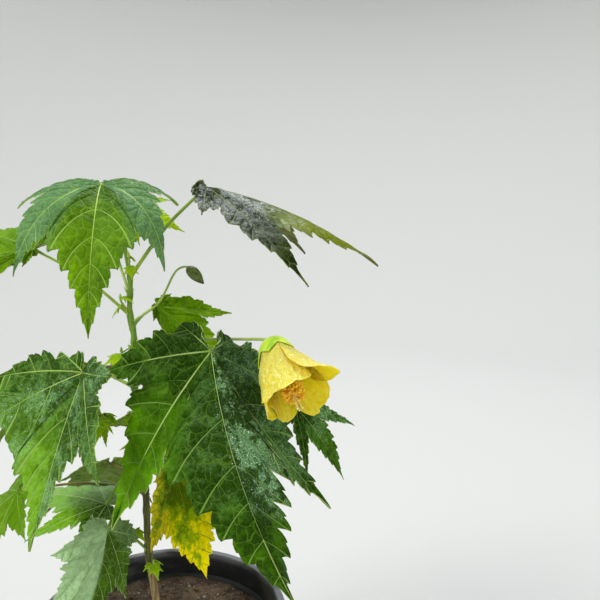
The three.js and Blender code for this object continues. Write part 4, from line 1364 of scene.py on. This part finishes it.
soilForm = {"rows": 70, "columns": 220, "lumpy": 1.6, "fine": 0.6, "crumbs": 1500, "chips": 70}
soilTones = {  # the dark and light of each, and how many of its grains to a metre
    "soilBrown": ((52, 40, 30), (104, 84, 64), 120.0),
    "crumbBrown": ((62, 48, 36), (124, 102, 80), 300.0),
    "barkChip": ((66, 44, 26), (112, 78, 48), 200.0),
    "paleGrit": ((140, 132, 120), (180, 172, 160), 300.0),
}


def soilPaint(name, dark, light, scale):
    material, shader = newPaint(name)
    where = place(material)
    coarse = grain(material, where, scale, 4.0, 0.6)
    fine = grain(material, where, scale * 6, 3.0, 0.7)
    base = mixed(material, ramped(material, coarse, 0.3, 0.7), colour(*dark), colour(*light))
    base = mixed(material, ramped(material, fine, 0.55, 0.75, 0.0, 0.6), base, colour(150, 136, 118))
    height = reckon(material, "ADD", coarse, fine)
    join(material, shader, base=base, normal=bump(material, height, 0.6 * mm, 0.9))
    finish(shader, rough=0.95)
    return material


def soilTop(radius, turn):
    edge = potInside(pot["height"] - pot["band"]) - soil["gap"]
    height = lerp(soil["middle"], soil["edge"], max(radius - soil["flat"], 0) / (edge - soil["flat"]))
    spot = Vector((radius * math.cos(turn), radius * math.sin(turn), 0))
    lumps = noise.fractal(spot * 0.09, 0.8, 2.1, 4) * soilForm["lumpy"]
    grit = noise.noise(spot * 0.9) * soilForm["fine"]
    return height - 0.5 + (lumps + grit) * min(radius / 12, 1)


def makeSoil():
    topPaint, *paints = [soilPaint(name, *tone) for name, tone in soilTones.items()]
    floor = pot["wall"] + soil["gap"]
    edge = potInside(pot["height"] - pot["band"]) - soil["gap"]
    foot = potInside(floor) - soil["gap"]
    rows, top = soilForm["rows"], soilForm["rows"] - 8

    def carry(u, v):
        row = round(u * rows)
        turn = 2 * math.pi * v
        if row <= top:
            radius = edge * row / top
            height = soilTop(radius, turn)
        else:
            share = (row - top) / (rows - top - 1)
            radius = lerp(edge, foot, share) if share <= 1 else 0
            height = lerp(soil["edge"] - 2, floor, min(share, 1))
        return Vector((radius * math.cos(turn), radius * math.sin(turn), height)) * mm

    bm = bmesh.new()
    made, faces = addSheet(bm, rows, soilForm["columns"], carry)
    closeUp(bm, made, faces, 1e-6)
    makePiece("pottingSoil", bm, [topPaint], ["potting_soil"])
    rng = random.Random(8)
    bm = bmesh.new()
    for k in range(soilForm["crumbs"] + soilForm["chips"]):
        radius = (edge - 4) * math.sqrt(rng.random())
        turn = rng.uniform(0, 2 * math.pi)
        if radius < 6:
            continue
        chip = k >= soilForm["crumbs"]
        size = rng.uniform(1.6, 3.2) if chip else 0.5 + 1.7 * rng.random() ** 3
        spot = (radius * math.cos(turn), radius * math.sin(turn), soilTop(radius, turn) + size * 0.15)
        shape = (size * 1.6, size * 0.7, size * 0.3) if chip else (size, size * 0.85, size * 0.75)
        lie = (rng.uniform(-1, 1), rng.uniform(-1, 1), rng.uniform(0.6, 2))
        made = addLump(bm, spot, shape, lie, 1, 1 if chip else int(rng.random() < 0.12) * 2)
        for vert in made:
            vert.co += Vector([rng.uniform(-0.16, 0.16) * size * mm for _ in range(3)])
    makePiece("soilCrumbs", bm, paints, smooth=False)


makePot()
makeSoil()
print("pot and soil: done")


# Floor, light and camera

studio = {"floorRadius": 1.6, "bowlRadius": 3.2, "bowlHeight": 2.6, "steps": 24, "sides": 96,
          "grey": (206, 206, 204), "sky": (0.93, 0.97, 1.0, 1), "skyStrength": 0.42}


def makeStudio():
    bm = bmesh.new()
    outline = [(0, 0), (studio["floorRadius"], 0)]
    for k in range(1, studio["steps"] + 1):
        turn = math.pi / 2 * k / studio["steps"]
        radius = lerp(studio["floorRadius"], studio["bowlRadius"], math.sin(turn))
        outline.append((radius, studio["bowlHeight"] * (1 - math.cos(turn))))
    spinRound(bm, outline, studio["sides"])
    if sum(face.normal.z for face in bm.faces if face.calc_center_median().z < 1e-4) < 0:
        bmesh.ops.reverse_faces(bm, faces=bm.faces[:])
    mesh = bpy.data.meshes.new("studioFloor")
    bm.to_mesh(mesh)
    bm.free()
    floor = bpy.data.objects.new("studioFloor", mesh)
    bpy.context.scene.collection.objects.link(floor)
    mesh.shade_smooth()
    material, shader = newPaint("paleFloor")
    shader.inputs["Base Color"].default_value = colour(*studio["grey"])
    finish(shader, rough=0.9, specular=0.2)
    mesh.materials.append(material)


lamps = [
    {"name": "skyPanel", "at": (0.3, 1.2, 2.6), "size": 2.0, "power": 52, "tint": (0.95, 0.98, 1.0)},
    {"name": "leftWindow", "at": (-1.7, -1.3, 2.2), "size": 1.0, "power": 52, "tint": (1.0, 0.98, 0.94)},
    {"name": "rightFill", "at": (1.8, -1.4, 1.2), "size": 1.6, "power": 12, "tint": (1.0, 1.0, 1.0)},
]
plantMiddle = Vector((0.0, 0.0, 0.3))


def makeLamps():
    for lamp in lamps:
        light = bpy.data.lights.new(lamp["name"], "AREA")
        light.shape, light.size = "DISK", lamp["size"]
        light.energy, light.color = lamp["power"], lamp["tint"]
        holder = bpy.data.objects.new(lamp["name"], light)
        holder.location = lamp["at"]
        holder.rotation_euler = (plantMiddle - holder.location).to_track_quat("-Z", "Y").to_euler()
        bpy.context.scene.collection.objects.link(holder)
    world = bpy.data.worlds.new("softRoom")
    world.use_nodes = True
    sky = world.node_tree.nodes["Background"]
    sky.inputs["Color"].default_value = studio["sky"]
    sky.inputs["Strength"].default_value = studio["skyStrength"]
    bpy.context.scene.world = world


view = {"at": (0.1, -0.428, 0.439), "pitch": 82, "lens": 38.4, "sensor": 36}


def makeCamera():
    camera = bpy.data.cameras.new("camera")
    camera.lens, camera.sensor_width = view["lens"], view["sensor"]
    camera.sensor_fit = "HORIZONTAL"
    camera.clip_start = 0.01
    holder = bpy.data.objects.new("camera", camera)
    holder.location = view["at"]
    holder.rotation_euler = (math.radians(view["pitch"]), 0, 0)
    bpy.context.scene.collection.objects.link(holder)
    bpy.context.scene.camera = holder


makeStudio()
makeLamps()
makeCamera()
bpy.context.scene.view_settings.view_transform = "Standard"
print("studio: done")
